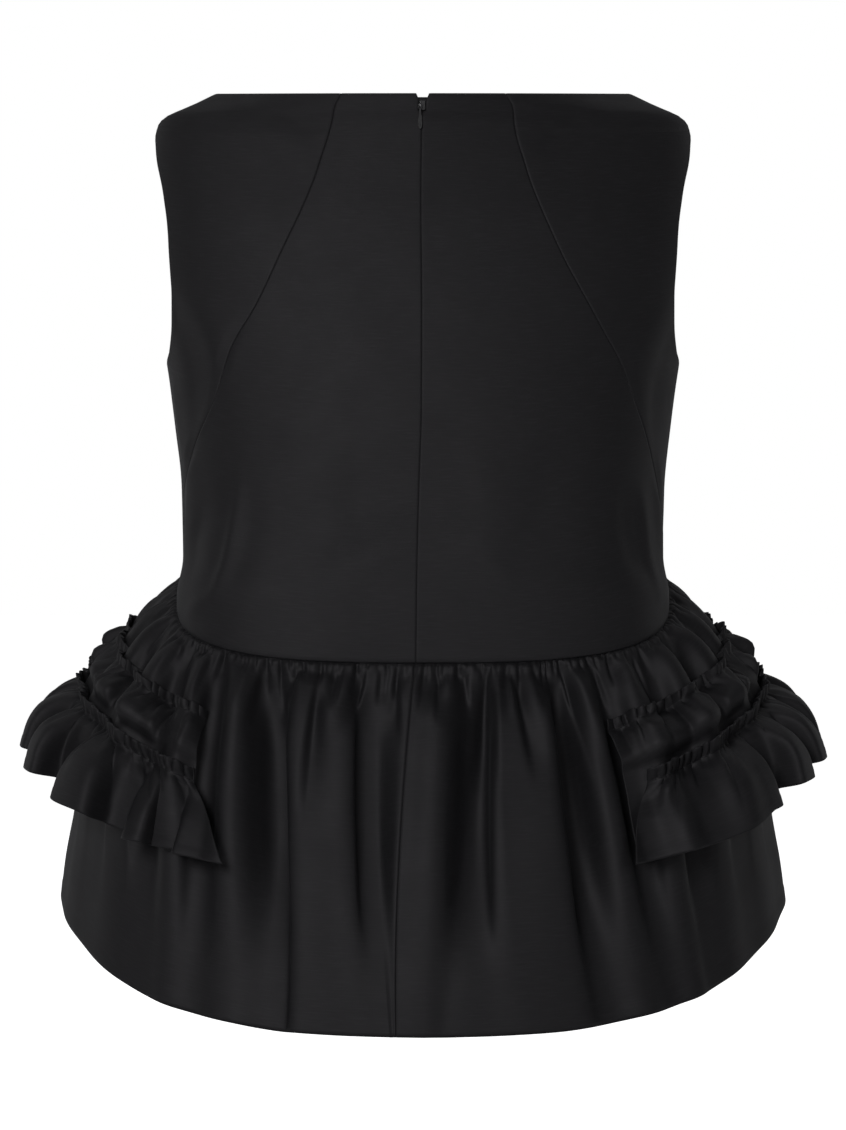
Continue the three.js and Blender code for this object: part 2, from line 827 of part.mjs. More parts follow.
// Zip slider: a block in the slit with a small arch that the pull hangs from
function zipSlider(name, frame) {
  const depth = SLIDER.proud + SLIDER.sunk;
  const block = new THREE.BoxGeometry(SLIDER.width, depth, SLIDER.height);
  block.translate(SLIDER.x, (SLIDER.sunk - SLIDER.proud) / 2, 0);
  const axisY = -SLIDER.proud - ARCH.lift;
  const root = -SLIDER.proud + 0.3;
  const steps = 10;
  const outline = [
    new THREE.Vector2(root, -ARCH.outer),
    ...arc(axisY, 0, ARCH.outer, 270, 90, steps),
    new THREE.Vector2(root, ARCH.outer),
    new THREE.Vector2(root, ARCH.inner),
    ...arc(axisY, 0, ARCH.inner, 90, 270, steps),
    new THREE.Vector2(root, -ARCH.inner),
  ];
  const bow = extrude(outline, [], ARCH.width);
  const turn = new THREE.Matrix4().makeBasis(
    new THREE.Vector3(0, 1, 0),
    new THREE.Vector3(0, 0, 1),
    new THREE.Vector3(1, 0, 0),
  );
  bow.applyMatrix4(turn).translate(ARCH.x, 0, 0);
  const joined = wasm.Manifold.union(solid(block), solid(bow));
  const mesh = fromSolid(name, joined, metal(0x3a3a3c));
  mesh.geometry.applyMatrix4(frame);
  return mesh;
}

// Drop-shaped pull that hangs from the arch by its eye
function zipPull(name, frame) {
  const right = (rows) => rows.map((row) => new THREE.Vector2(row.half, row.z));
  const left = (rows) => rows.map((row) => new THREE.Vector2(-row.half, row.z)).reverse();
  const outline = [...right(PULL_OUTLINE), new THREE.Vector2(0, -PULL.length), ...left(PULL_OUTLINE)];
  const eye = [...right(PULL_EYE), ...left(PULL_EYE)].reverse();
  const plate = extrude(outline, [eye], PULL.thick);
  plate.rotateX(Math.PI / 2).rotateX(radians(-PULL.tilt));
  plate.translate(ARCH.x, -SLIDER.proud - ARCH.lift, 0).applyMatrix4(frame);
  return fromSolid(name, solid(plate), metal(0x323234));
}

// Assembly
const column = (fold) => fold * GATHER_COLUMNS;
const frame = sliderFrame();
const top = new THREE.Group();
top.name = "peplum_top";
top.add(
  centreBackPanel("back_left", -1, SEAM_LEFT, LEFT_TIP_ROW),
  centreBackPanel("back_right", 1, SEAM_RIGHT, RIGHT_TIP_ROW),
  sideBackPanel("side_back_left", -1, SEAM_LEFT, LEFT_TIP_ROW),
  sideBackPanel("side_back_right", 1, SEAM_RIGHT, RIGHT_TIP_ROW),
  frontPanel("front"),
  peplumPiece("peplum_back_left", 0, column(CENTRE_BACK_FOLD), 0x202123),
  peplumPiece("peplum_back_right", column(CENTRE_BACK_FOLD), column(RIGHT_SIDE_FOLD), 0x1f2022),
  peplumPiece("peplum_front", column(RIGHT_SIDE_FOLD), column(LEFT_SIDE_FOLD), 0x1d1e20),
  ruffle("ruffle_left_upper", UPPER_RUFFLE, RUFFLE_ENDS.left_upper, 1, UPPER_SHIFT, 0x232426),
  ruffle("ruffle_left_lower", LOWER_RUFFLE, RUFFLE_ENDS.left_lower, 1, 0, 0x232426),
  ruffle("ruffle_right_upper", UPPER_RUFFLE, RUFFLE_ENDS.right_upper, -1, UPPER_SHIFT, 0x232426),
  ruffle("ruffle_right_lower", LOWER_RUFFLE, RUFFLE_ENDS.right_lower, -1, 0, 0x232426),
  zipTape("zip_tape"),
  zipSlider("zip_slider", frame),
  zipPull("zip_pull", frame),
);

export default top;
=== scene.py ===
import bpy
import numpy as np
from bpy.props import FloatProperty, FloatVectorProperty, PointerProperty
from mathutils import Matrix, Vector


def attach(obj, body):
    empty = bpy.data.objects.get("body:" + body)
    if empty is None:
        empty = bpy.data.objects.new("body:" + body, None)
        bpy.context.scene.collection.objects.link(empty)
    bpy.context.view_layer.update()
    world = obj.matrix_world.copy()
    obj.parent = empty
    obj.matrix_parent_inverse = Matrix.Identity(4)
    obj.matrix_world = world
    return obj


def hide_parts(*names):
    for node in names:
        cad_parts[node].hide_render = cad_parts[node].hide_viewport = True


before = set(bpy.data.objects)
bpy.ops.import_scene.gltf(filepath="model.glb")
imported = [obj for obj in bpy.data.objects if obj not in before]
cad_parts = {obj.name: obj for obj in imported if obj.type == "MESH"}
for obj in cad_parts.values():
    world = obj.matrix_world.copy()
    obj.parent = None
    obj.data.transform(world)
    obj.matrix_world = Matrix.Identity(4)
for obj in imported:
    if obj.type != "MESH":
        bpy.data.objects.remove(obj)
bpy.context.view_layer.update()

bl_info = {
    "name": "Peplum Top",
    "version": (1, 0, 0),
    "blender": (4, 5, 0),
    "location": "View3D > Sidebar > Peplum Top",
    "description": "Builds the cloth, the zip and the stage of a sleeveless top with a ruffled peplum",
    "category": "Add Mesh",
}

# Shapes are worked out in millimetres and put into the meshes in metres.
# Angles go round the body from the centre back, 90 at the +X side seam and 180 at the centre front.
MM = 0.001


def table(columns, rows):
    """Rows of numbers as one array for each named column."""
    return dict(zip(columns.split(), np.array(rows, float).T))


# Cloth form, as in the part's own source
WAIST_Z = -363
WAIST_SLANT = 0.4
WAIST_SLANT_FRONT = 0.1
WAIST_BEND_ANGLE = 105
WAIST = {"half": 177, "back": 116, "front": 118, "square": 3}
NECK_DIP_BACK = 8.9
NECK_DIP_FRONT = 30
NECK_FRONT_POWER = 1.4
PEPLUM_LENGTH = 262
HEM = {"half": 261, "back": 190, "front": 186, "square": 2.05}
SIDE_ZONE = (0.45, 0.95)
SEAM_GAP = 0.04
TAPE_HALF = 11
SHOULDER_ROW = 0.0634
SHOULDER_END_ROW = 0.074
UNDERARM_START_ROW = 0.53
UNDERARM_ROW = 0.543
LEFT_TIP_ROW = 0.88
RIGHT_TIP_ROW = 0.93

SECTIONS = table("z half back front square", [
    [16, 108, 60, 58, 2], [0, 147, 66, 64, 2], [-10, 168, 69, 68, 2], [-19, 187.8, 71.2, 71, 2.01],
    [-22, 190.5, 72, 72, 2.02], [-28, 194, 74, 74, 2.03], [-36, 197, 76, 77, 2.05],
    [-60, 200, 82, 86, 2.1], [-100, 200, 92, 102, 2.18], [-150, 194, 101, 118, 2.26],
    [-197, 185, 107, 129, 2.34], [-240, 179, 111, 132, 2.45], [-287, 174, 113, 127, 2.6],
    [-335, 173, 114, 120, 2.85], [-363, 177, 116, 118, 3], [-430, 177.5, 117, 118, 3],
])

SEAM_LEFT = table("z angle", [
    [0, -21.5], [-26, -19.2], [-59, -21.2], [-92, -24.8], [-126, -29.9], [-160, -36], [-190, -43.8],
    [-225, -50], [-257, -60], [-288, -72], [-305, -81], [-319.4, -89.6],
])
SEAM_RIGHT = table("z angle", [
    [0, 21.5], [-32, 19.2], [-63, 21.1], [-94, 24.4], [-125, 28.8], [-152, 34.1], [-178, 40],
    [-198, 45.3], [-230, 52], [-272, 62.5], [-306, 72], [-325, 81], [-337.6, 89.6],
])
ARMHOLE = table("z angle", [
    [-23, 84], [-42, 75.3], [-78, 66.3], [-111, 62.9], [-144, 63.7], [-168, 66.4], [-189, 73.4],
    [-198, 86],
])
CENTRE_BACK = table("z x", [
    [0, 0], [-14, -0.3], [-21, -0.6], [-88, -1.4], [-160, -0.8], [-230, -1], [-288, -2.8],
    [-346, -4.2], [-420, -5],
])
SLIT = table("row half", [
    [0, 4.5], [0.0135, 2.5], [0.0317, 2.5], [0.037, SEAM_GAP / 2], [1, SEAM_GAP / 2],
])
SIDE_PROFILE = table("along share drop", [
    [0, 0, 0], [12, 0.12, 5], [28, 0.26, 14], [44, 0.375, 26], [58, 0.46, 37], [72, 0.56, 47],
    [87, 0.675, 58], [103, 0.765, 72], [129, 0.83, 97], [181, 0.88, 149], [230, 0.96, 188],
    [262, 1, 214],
])
FLAT_PROFILE = table("along share drop", [
    [0, 0, 0], [10, 0.07, 8], [25, 0.17, 20.5], [50, 0.3, 43], [100, 0.5, 90], [150, 0.68, 138],
    [200, 0.84, 187], [262, 1, 250],
])
HEM_DROP = table("angle drop", [
    [0, 249.5], [20, 248], [30, 244.8], [45, 239.2], [60, 229], [75, 218], [90, 214], [120, 222],
    [150, 234], [180, 239],
])
FOLD_DEPTH = table("along depth", [
    [0, 0], [9, 0.15], [22, 0.55], [45, 0.95], [80, 1.1], [125, 1.1], [262, 1.1],
])

# Fold lines of the peplum: angle at the seam, half way and at the hem, how far out, how far the cloth rolls
# over between this line and the next, as a share of their distance, and the share of its height at the hem
FOLDS = table("top middle low out roll hem", [
    [-90, -90, -90, 3, 0.08, 0.1], [-82, -81.5, -81, -6, 0.1, 0.1], [-74.5, -74, -73, 5, 0.12, 0.1],
    [-67, -66, -65, -8, 0.16, 0.1], [-59.5, -58, -56.5, 6, 0.14, 0.1],
    [-52.5, -50.5, -48.5, -9, 0.06, 0.1], [-47, -44.5, -42, 5, 0.1, 0.25],
    [-43, -39.3, -36.5, -8, 0.06, 0.25], [-38.5, -33.5, -30, 6, 0.03, 0.2],
    [-32, -25.8, -23, -18, 0.25, 0.2], [-26, -20, -18.2, 6.5, 0, 0.4],
    [-16.5, -15.2, -9, 6, 0.2, 0.05], [-10.5, -8, -5, -10, 0, 0.02],
    [-1.7, -3.9, -4, -1, 0.03, 0.3], [4, 1.5, 0, 3, 0.06, 0.2], [12.8, 9.2, 5.5, -16, 0.16, 0.04],
    [17.2, 13.8, 17, 5.5, 0, 0.15], [25, 22, 23.5, 6.5, 0.22, 0.2], [28, 27.2, 30, -18, 0.05, 0.25],
    [32, 33, 36, 6, 0.1, 0.25], [37.5, 38, 41.5, -8, 0.08, 0.25], [43, 43, 46, 5.5, 0.14, 0.25],
    [48.5, 48.5, 50.5, -8, 0.08, 0.1], [54, 54, 55.5, 6, 0.14, 0.1], [61, 61, 62, -9, 0.12, 0.1],
    [68.5, 68.5, 69, 6, 0.14, 0.1], [76, 76, 76.5, -8, 0.1, 0.1], [83, 83, 83.5, 4, 0.08, 0.1],
    [90, 90, 90, -4, 0.12, 0.1], [97.5, 97, 96.5, 2.5, 0.08, 0.3],
    [105, 104.5, 104, -3.5, 0.06, 0.3], [112.5, 112, 112.5, 3, 0.06, 0.3],
    [120, 120, 120, -4, 0.06, 0.35], [127.5, 128, 128.5, 3.5, 0.12, 0.35],
    [134.5, 135, 136, -5, 0.1, 0.35], [141, 141, 142, 4.5, 0.05, 0.35],
    [146.5, 147, 148.5, -9, 0.14, 0.3], [152, 153, 154, 5.5, 0.02, 0.35],
    [161, 160, 160.5, 5.5, 0.16, 0.3], [165, 164.5, 164, -11, 0.1, 0.3],
    [170, 169.5, 168.5, 5, 0.06, 0.3], [176, 175, 174.5, -6, 0.06, 0.2],
    [182, 182.5, 182, 4, 0.14, 0.3], [188, 188.5, 189.5, -11, 0.14, 0.25],
    [193, 194.5, 195.5, 6, 0.02, 0.35], [202, 202, 203.5, 6, 0.2, 0.35],
    [206, 207.5, 208.5, -12, 0.06, 0.3], [211.5, 212, 214, 5, 0.08, 0.3],
    [218, 218, 219.5, -7, 0.1, 0.3], [225, 225, 226, 4, 0.08, 0.3], [232, 232, 233, -5, 0.05, 0.3],
    [239.5, 239, 240, 3.5, 0.06, 0.3], [247, 246.5, 247, -4, 0.05, 0.3],
    [255, 254.5, 255, 3, 0.1, 0.3], [262, 262, 262.5, -3, 0.06, 0.3], [270, 270, 270, 3, 0.08, 0.2],
])
FOLD_COUNT = 55

# Teardrop hollows below the waist seam: ends as angle and distance down the cloth, depth and width,
# with the steep side on the left, or on the right where the width is below 0
HOLLOWS = table("angle0 down0 angle1 down1 depth width", [
    [-26.4, 5, -26.8, 40, 3.6, -3.6], [-21.6, 14, -20.2, 112, 5.4, 5.2],
    [-18.4, 4, -18.6, 34, 3.4, -3.4], [-12.6, 5, -14.2, 50, 4.6, -3.8], [-9.2, 4, -9, 30, 3.2, 3],
    [-5.6, 6, -5.2, 56, 3.8, -3.6], [-34, 8, -33, 60, 5, 4.6], [3.6, 5, 3, 44, 3.8, 3.6],
    [9.2, 5, 8.8, 36, 4, -3.4], [13.6, 6, 12.4, 88, 5.4, -4.6], [18.6, 6, 20.2, 84, 5.2, 4.4],
    [23.4, 4, 23.8, 34, 3.4, 3.2], [29.4, 6, 31.4, 96, 5.6, 4.6], [36, 8, 36.6, 52, 4.2, -4],
    [-46, 8, -45, 50, 4, 4], [-57, 8, -56, 54, 4, 4.4], [57, 8, 57.6, 52, 4, 4.4],
    [46, 8, 45.6, 50, 4, -4], [132, 8, 131, 50, 4, 4.4], [149, 8, 150, 44, 3.8, -4],
    [157, 8, 157.5, 60, 4.8, 4.6], [173, 8, 172.6, 52, 4, -4], [185, 8, 185, 40, 3.4, 3.4],
    [198, 8, 198.4, 62, 5, 4.8], [209, 8, 209, 42, 3.6, -3.6], [222, 8, 222, 52, 4, 4.4],
    [236, 8, 235.6, 46, 3.6, 4],
])
CENTRE_BACK_FOLD = 13
RIGHT_SIDE_FOLD = 28
LEFT_SIDE_FOLD = 55
COLUMNS_A_FOLD = 4

# Ruffles from the top of the heading down, as in the part's source
RUFFLE_COLUMNS = "row along out side_along side_out fold lead"
UPPER_RUFFLE = table(RUFFLE_COLUMNS, [
    [0, 52, 4.6, 52, 4.8, 0, 0], [1, 60, 1.2, 60, 1.2, 0, 0], [2, 70, 6.5, 69, 6, 2.5, 0],
    [3, 84, 9, 81, 9, 4, 0], [4, 96, 1.2, 92, 1.4, 0.3, 0], [5, 107, 1, 102, 1, 0, 0],
    [6, 128, 3.2, 114, 7, 0.8, 0.2], [7, 158, 4, 140, 14, 1, 0.3],
])
LOWER_RUFFLE = table(RUFFLE_COLUMNS, [
    [0, 98, 8.5, 94, 9.5, 0, 0], [1, 106, 3.2, 101, 3.2, 0, 0], [2, 116, 9.5, 107, 13, 3, 1],
    [3, 130, 15, 118, 24, 7.5, 2.2], [4, 144, 18.5, 130, 28.5, 9.5, 3.1],
    [5, 157, 21, 143, 30, 10.5, 3.8],
])
RUFFLE_SIDE_ZONE = (0.75, 0.97)
RUFFLE_FOLDS = table("right right_height left left_height", [
    [30, 0.4, 28, 0.4], [40, 0.9, 38, 1], [46, 0.6, 44.7, -1], [53, 1, 47.8, 0.6],
    [59, 0.9, 52.2, -1], [64.5, -0.9, 60, 1], [69.5, 1, 69, -1], [74.5, -0.9, 75, 0.9],
    [80, 1, 81, -1], [85.5, -0.9, 87.5, 0.9], [92, 1, 94, -1], [98.5, -0.9, 100.5, 0.9],
    [105, 1, 107, -1], [112.5, -1, 114, 1], [120, 1, 121, -1], [130, -0.8, 130, 0.9],
    [141, 0.6, 142, -0.6], [155, 0.4, 155, 0.4],
])
LEAD_FADE = 7
UPPER_SHIFT = 5

# Soft creases of the bodice: ends as angle and height, how high (a ridge is above 0), how wide, how bent
BODICE_CREASES = table("angle0 z0 angle1 z1 height width bend", [
    [-43.4, -296, -47.8, -366, 1.5, 6, 2], [-47.6, -362, -60, -374, 1.1, 5, 0],
    [-40, -285, -43, -350, -0.6, 9, 2], [-55, -300, -60, -350, -1, 9, -4],
    [-64, -262, -70, -330, 1.4, 10, 5], [-72, -300, -80, -345, -1.1, 8, 0],
    [-58, -150, -48, -215, 1.1, 12, 8], [-63, -165, -58, -240, -1.0, 11, 6],
    [-70, -205, -66, -275, 0.9, 12, -5], [-35, -20, -22, -38, -0.9, 9, 3],
    [-30, -240, -26, -335, 0.7, 16, 6], [-14, -250, -12, -340, -0.5, 15, -4],
    [12, -262, 15, -345, 0.6, 15, 4], [30, -250, 27, -340, -0.6, 14, -5],
    [56, -296, 60, -362, 1.4, 6, -3], [49, -290, 52, -350, -0.8, 9, -4],
    [66, -270, 71, -340, 1.3, 9, -4], [74, -312, 80, -345, -1.0, 8, 0],
    [61, -160, 50, -222, 0.9, 12, -7], [66, -178, 61, -250, -0.9, 10, -6],
    [36, -24, 24, -44, -0.7, 9, -3], [8, -330, 20, -352, 0.6, 8, 2],
    [-8, -334, -19, -354, 0.5, 8, -2], [112, -205, 128, -262, 1.3, 12, 7],
    [104, -215, 116, -290, -1.0, 11, 6], [128, -285, 132, -330, 1.0, 12, 4],
    [150, -245, 150, -320, -0.7, 15, 3], [170, -262, 168, -325, 0.7, 14, -4],
    [193, -250, 195, -322, -0.6, 15, 4], [212, -255, 209, -318, 0.8, 14, 4],
    [231, -275, 228, -330, -0.9, 12, -4], [248, -206, 233, -268, 1.2, 12, -7],
    [256, -225, 246, -298, -0.9, 11, -5], [100, -300, 104, -335, 0.9, 9, 0],
    [259, -298, 254, -335, 0.9, 9, 0], [140, -45, 160, -62, -0.6, 10, 3],
    [221, -47, 200, -64, -0.6, 10, -3],
])


# Curves and surfaces

RANDOM_HEIGHTS = 1024
WAIST_MM_A_DEGREE = 2.9
FULL_ROLL_STEP = 12


def mix(a, b, t):
    return a + (b - a) * t


def smoothstep(x, low, high):
    """0 up to low, 1 from high, and a cubic between them."""
    t = np.clip((x - low) / (high - low), 0, 1)
    return t * t * (3 - 2 * t)


def look(rows, key, at, column):
    """Monotone curve through a table: cubic pieces whose slope at a row is its neighbours' harmonic mean."""
    x, y = rows[key], rows[column]
    if x[0] > x[-1]:
        x, y = x[::-1], y[::-1]
    step = np.diff(x)
    slope = np.diff(y) / step
    tangent = np.concatenate([slope[:1], np.zeros(len(x) - 2), slope[-1:]])
    before, after = slope[:-1], slope[1:]
    same = before * after > 0
    tangent[1:-1] = np.where(same, 2 * before * after / np.where(same, before + after, 1), 0)
    v = np.clip(at, x[0], x[-1])
    i = np.clip(np.searchsorted(x, v, side="right") - 1, 0, len(x) - 2)
    t = (v - x[i]) / step[i]
    s = 1 - t
    return (
        y[i] * (1 + 2 * t) * s * s
        + tangent[i] * step[i] * t * s * s
        + y[i + 1] * t * t * (3 - 2 * t)
        + tangent[i + 1] * step[i] * t * t * (t - 1)
    )


def wander(seed, x, period):
    """Smooth random curve between -1 and 1: a random height every period, joined by cubic steps."""
    heights = np.random.default_rng(seed).uniform(-1, 1, RANDOM_HEIGHTS)
    k = np.floor(x / period).astype(int)
    t = x / period - k
    t = t * t * (3 - 2 * t)
    return mix(heights[k % RANDOM_HEIGHTS], heights[(k + 1) % RANDOM_HEIGHTS], t)


def ring(angle, half, back, front, square):
    """Rounded oblong: sine and cosine of the angle, divided by their length in the power of its squareness."""
    s, c = np.sin(np.radians(angle)), np.cos(np.radians(angle))
    size = (np.abs(s) ** square + np.abs(c) ** square) ** (1 / square)
    return half * s / size, -np.where(c >= 0, back, front) * c / size


def stack(x, y, z):
    return np.stack(np.broadcast_arrays(x, y, z), axis=-1)


def unit(v):
    return v / np.maximum(np.linalg.norm(v, axis=-1, keepdims=True), 1e-12)


def sideness(angle, low, high):
    """0 at the back and the front, 1 at the sides, by the sine of the angle."""
    return smoothstep(np.abs(np.sin(np.radians(angle))), low, high)


def normal_of(surface, a, b, step_a, step_b):
    """Outward normal of a surface of two numbers: the cross product of its two slopes."""
    along_a = surface(a + step_a, b) - surface(a - step_a, b)
    along_b = surface(a, b + step_b) - surface(a, b - step_b)
    return unit(np.cross(along_b, along_a))


def body_at(angle, z):
    """Bodice ring whose sizes follow the table of sections."""
    x, y = ring(angle, *(look(SECTIONS, "z", z, name) for name in ("half", "back", "front", "square")))
    return stack(x, y, z)


def waist_at(y):
    """Height of the waist seam: one slope behind the bend, a flatter one in front of it."""
    bend = ring(WAIST_BEND_ANGLE, **WAIST)[1]
    return WAIST_Z + WAIST_SLANT * np.minimum(y, bend) + WAIST_SLANT_FRONT * np.maximum(y - bend, 0)


def waist_z(angle):
    return waist_at(ring(angle, **WAIST)[1])


def neck_z(angle):
    """Neck edge: it dips with the cosine at the back and with a power of it at the front."""
    c = np.cos(np.radians(angle))
    return np.where(c >= 0, -NECK_DIP_BACK * c, -NECK_DIP_FRONT * np.maximum(-c, 0) ** NECK_FRONT_POWER)


def bodice(angle, row):
    """Bodice point at an angle and a share of the way from the neck edge to the waist seam."""
    return body_at(angle, mix(neck_z(angle), waist_z(angle), row))


def bodice_normal(angle, row):
    return normal_of(bodice, angle, row, 0.2, 0.002)


def degrees_a_mm(angle, row):
    """Degrees round the bodice that make one millimetre."""
    return 0.2 / np.linalg.norm(bodice(angle + 0.1, row) - bodice(angle - 0.1, row), axis=-1)


def seam_angle(seam, row, sign=1, start=None, mirror=False):
    """Angle of a seam at a row, found by steps, because a row's height depends on the angle."""
    guess = sign * look(seam, "z", WAIST_Z * row, "angle") if start is None else np.full_like(row, start)
    for _ in range(40):
        z = mix(neck_z(guess), waist_z(guess), row)
        found = sign * look(seam, "z", z, "angle")
        guess = mix(guess, 180 - found if mirror else found, 0.7)
    return guess


def centre_angle(row):
    """Angle of the centre back line, which wanders a few millimetres to the side."""
    angle = np.zeros_like(row)
    for _ in range(10):
        p = bodice(angle, row)
        angle = angle + (look(CENTRE_BACK, "z", p[..., 2], "x") - p[..., 0]) * degrees_a_mm(angle, row)
    return angle


def skirt(angle, along):
    """Peplum without folds: from the waist ring to the hem ring, by the profile of the sides or of the back."""
    side = sideness(angle, *SIDE_ZONE)
    top_x, top_y = ring(angle, **WAIST)
    hem_x, hem_y = ring(angle, **HEM)
    share, drop = (
        mix(look(FLAT_PROFILE, "along", along, name), look(SIDE_PROFILE, "along", along, name), side)
        for name in ("share", "drop")
    )
    turned = np.abs(np.where(angle > 180, angle - 360, angle))
    full_drop = mix(FLAT_PROFILE["drop"][-1], SIDE_PROFILE["drop"][-1], side)
    lengthen = (look(HEM_DROP, "angle", turned, "drop") / full_drop - 1) * (along / PEPLUM_LENGTH) ** 2
    return stack(mix(top_x, hem_x, share), mix(top_y, hem_y, share), waist_at(top_y) - drop * (1 + lengthen))


def skirt_normal(angle, along):
    return normal_of(skirt, angle, np.clip(along, 0.6, PEPLUM_LENGTH - 0.6), 0.3, 0.5)


def fold_line(k, name):
    """A fold line's number, counted on past the ends of the table by whole turns."""
    turn = np.floor(k / FOLD_COUNT).astype(int)
    value = FOLDS[name][k - turn * FOLD_COUNT]
    return value + 360 * turn if name in ("top", "middle", "low") else value


def fold_angle(k, along):
    """Parabola through a fold line's angles at the seam, half way and at the hem."""
    t = along / PEPLUM_LENGTH
    return (
        fold_line(k, "top") * (1 - t) * (1 - 2 * t)
        + fold_line(k, "middle") * 4 * t * (1 - t)
        + fold_line(k, "low") * t * (2 * t - 1)
    )


def folds_to_angle(place, along):
    """Angle at a place counted in fold lines."""
    k = np.floor(place).astype(int)
    return mix(fold_angle(k, along), fold_angle(k + 1, along), place - k)


def between_folds(place, name):
    """A fold line's number, eased from one line to the next by half a cosine wave."""
    k = np.floor(place).astype(int)
    return mix(fold_line(k, name), fold_line(k + 1, name), (1 - np.cos(np.pi * (place - k))) / 2)


def rolled(place, along):
    """Place moved by a sine wave between two fold lines: a crest's edge rolls over the hollow beside it."""
    k = np.floor(place).astype(int)
    step = np.minimum(np.abs(fold_line(k, "out") - fold_line(k + 1, "out")) / FULL_ROLL_STEP, 1)
    hem = np.maximum(fold_line(k, "hem"), fold_line(k + 1, "hem"))
    share = smoothstep(along, 12, 70) * mix(1, hem, smoothstep(along, 130, 235))
    return place + fold_line(k, "roll") * step * share * np.sin(2 * np.pi * (place - k))


def hollows(angle, along):
    """Sum of long hollows: a bell curve across a line, narrower on one side, eased in and out along it."""
    total = np.zeros_like(angle)
    turned = angle % 360
    for k in range(len(HOLLOWS["depth"])):
        h = {name: column[k] for name, column in HOLLOWS.items()}
        t = (along - h["down0"]) / (h["down1"] - h["down0"])
        middle = mix(h["angle0"], h["angle1"], t) % 360
        across = ((turned - middle + 180) % 360 - 180) * WAIST_MM_A_DEGREE
        steep = np.where(across * h["width"] < 0, 0.5, 1.5)
        wide = np.abs(h["width"]) * (0.5 + 0.8 * np.clip(t, 0, 1)) * steep
        bell = h["depth"] * np.exp(-(across / wide) ** 2)
        total += bell * smoothstep(t, -0.1, 0.3) * (1 - smoothstep(t, 0.5, 1.2))
    return total


def fold_height(place, along):
    """How far the folds stand out: nothing at the seam, full over the hip and a share of it at the hem."""
    side = sideness(folds_to_angle(place, along), 0.7, 0.95)
    fade = smoothstep(along, mix(115, 55, side), mix(235, 150, side))
    full = between_folds(place, "out") * look(FOLD_DEPTH, "along", along, "depth")
    return full * mix(1, between_folds(place, "hem"), fade)


def peplum_base(place, along):
    """Peplum with folds and no gathers: the skirt moved out by the fold's height, its crests rolled over."""
    angle = folds_to_angle(rolled(place, along), along)
    out = fold_height(place, along) - hollows(angle, along)
    return skirt(angle, along) + skirt_normal(angle, along) * out[..., None]


# Meshes

def quads(index):
    """Four corners of each cell of a grid of numbers."""
    return np.stack([index[:-1, :-1], index[1:, :-1], index[1:, 1:], index[:-1, 1:]], axis=-1).reshape(-1, 4)


def shell_faces(rows, columns):
    """Faces of a closed wall: the outer grid, the inner grid turned round, and a band along their edges."""
    index = np.arange(rows * columns).reshape(rows, columns)
    inside = index + rows * columns
    edge = np.concatenate([index[:, 0], index[-1, 1:], index[-2::-1, -1], index[0, -2::-1]])
    band = np.stack([edge[1:], edge[:-1], edge[:-1] + rows * columns, edge[1:] + rows * columns], axis=-1)
    return np.concatenate([quads(index), quads(inside)[:, ::-1], band])


def make_mesh(name, points, faces, material, uv=None, smooth=True):
    """Mesh object at the origin from arrays of points in millimetres and faces, with a map in metres."""
    corner = points[faces[:, 0]]
    volume = np.einsum("ij,ij->", corner, np.cross(points[faces[:, 1]], points[faces[:, 2]]))
    volume += np.einsum("ij,ij->", corner, np.cross(points[faces[:, 2]], points[faces[:, -1]]))
    if volume < 0:
        faces = faces[:, ::-1]
    mesh = bpy.data.meshes.new(name)
    mesh.vertices.add(len(points))
    mesh.vertices.foreach_set("co", (points * MM).astype(np.float32).ravel())
    mesh.loops.add(faces.size)
    mesh.loops.foreach_set("vertex_index", faces.astype(np.int32).ravel())
    mesh.polygons.add(len(faces))
    mesh.polygons.foreach_set("loop_start", np.arange(0, faces.size, faces.shape[1], dtype=np.int32))
    mesh.polygons.foreach_set("use_smooth", np.full(len(faces), smooth))
    if uv is not None:
        layer = mesh.uv_layers.new(name="cloth")
        layer.data.foreach_set("uv", uv[faces.ravel()].astype(np.float32).ravel())
    mesh.update(calc_edges=True)
    mesh.validate()
    mesh.materials.append(material)
    piece = bpy.data.objects.new(name, mesh)
    bpy.context.scene.collection.objects.link(piece)
    return piece


def lengths(points, axis):
    """Distance run along a grid from its first row or column, in metres."""
    step = np.linalg.norm(np.diff(points, axis=axis), axis=-1)
    start = np.zeros_like(np.take(step, [0], axis=axis))
    return np.concatenate([start, np.cumsum(step, axis=axis)], axis=axis) * MM


def cloth_shell(name, outer, inner, material):
    """Closed shell of cloth with a map that runs along its weft and warp in metres."""
    rows, columns = outer.shape[:2]
    run = lengths(outer, 1)
    across = run - run[:, [columns // 2]]
    down = np.broadcast_to(lengths(outer, 0)[:, [columns // 2]], (rows, columns))
    uv = np.stack([across, -down], axis=-1).reshape(-1, 2)
    points = np.concatenate([outer.reshape(-1, 3), inner.reshape(-1, 3)])
    return make_mesh(name, points, shell_faces(rows, columns), material, np.concatenate([uv, uv]))


def worn(piece):
    """The piece moves with the garment: it is parented to the garment's empty."""
    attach(piece, "garment")
    return piece


def sheet(piece, cut, held, hangs_from, **extra):
    """Moves a piece of cloth with the garment, as worn does. Its cut (width, length and area) is not used."""
    worn(piece)


# Cut of each piece that shows, without its seam allowances: width, length, area
CUTS = {
    "back_left": (0.251, 0.41, 0.0586),
    "back_right": (0.261, 0.41, 0.0589),
    "side_back_left": (0.155, 0.4, 0.0288),
    "side_back_right": (0.156, 0.4, 0.0301),
    "front": (0.513, 0.44, 0.1512),
    "peplum_back_left": (0.404, 0.265, 0.0908),
    "peplum_back_right": (0.453, 0.265, 0.101),
    "peplum_front": (0.766, 0.251, 0.1723),
    "ruffle_left_upper": (0.586, 0.116, 0.0384),
    "ruffle_left_lower": (0.727, 0.083, 0.0373),
    "ruffle_right_upper": (0.643, 0.117, 0.0431),
    "ruffle_right_lower": (0.685, 0.081, 0.0369),
}


# Bodice

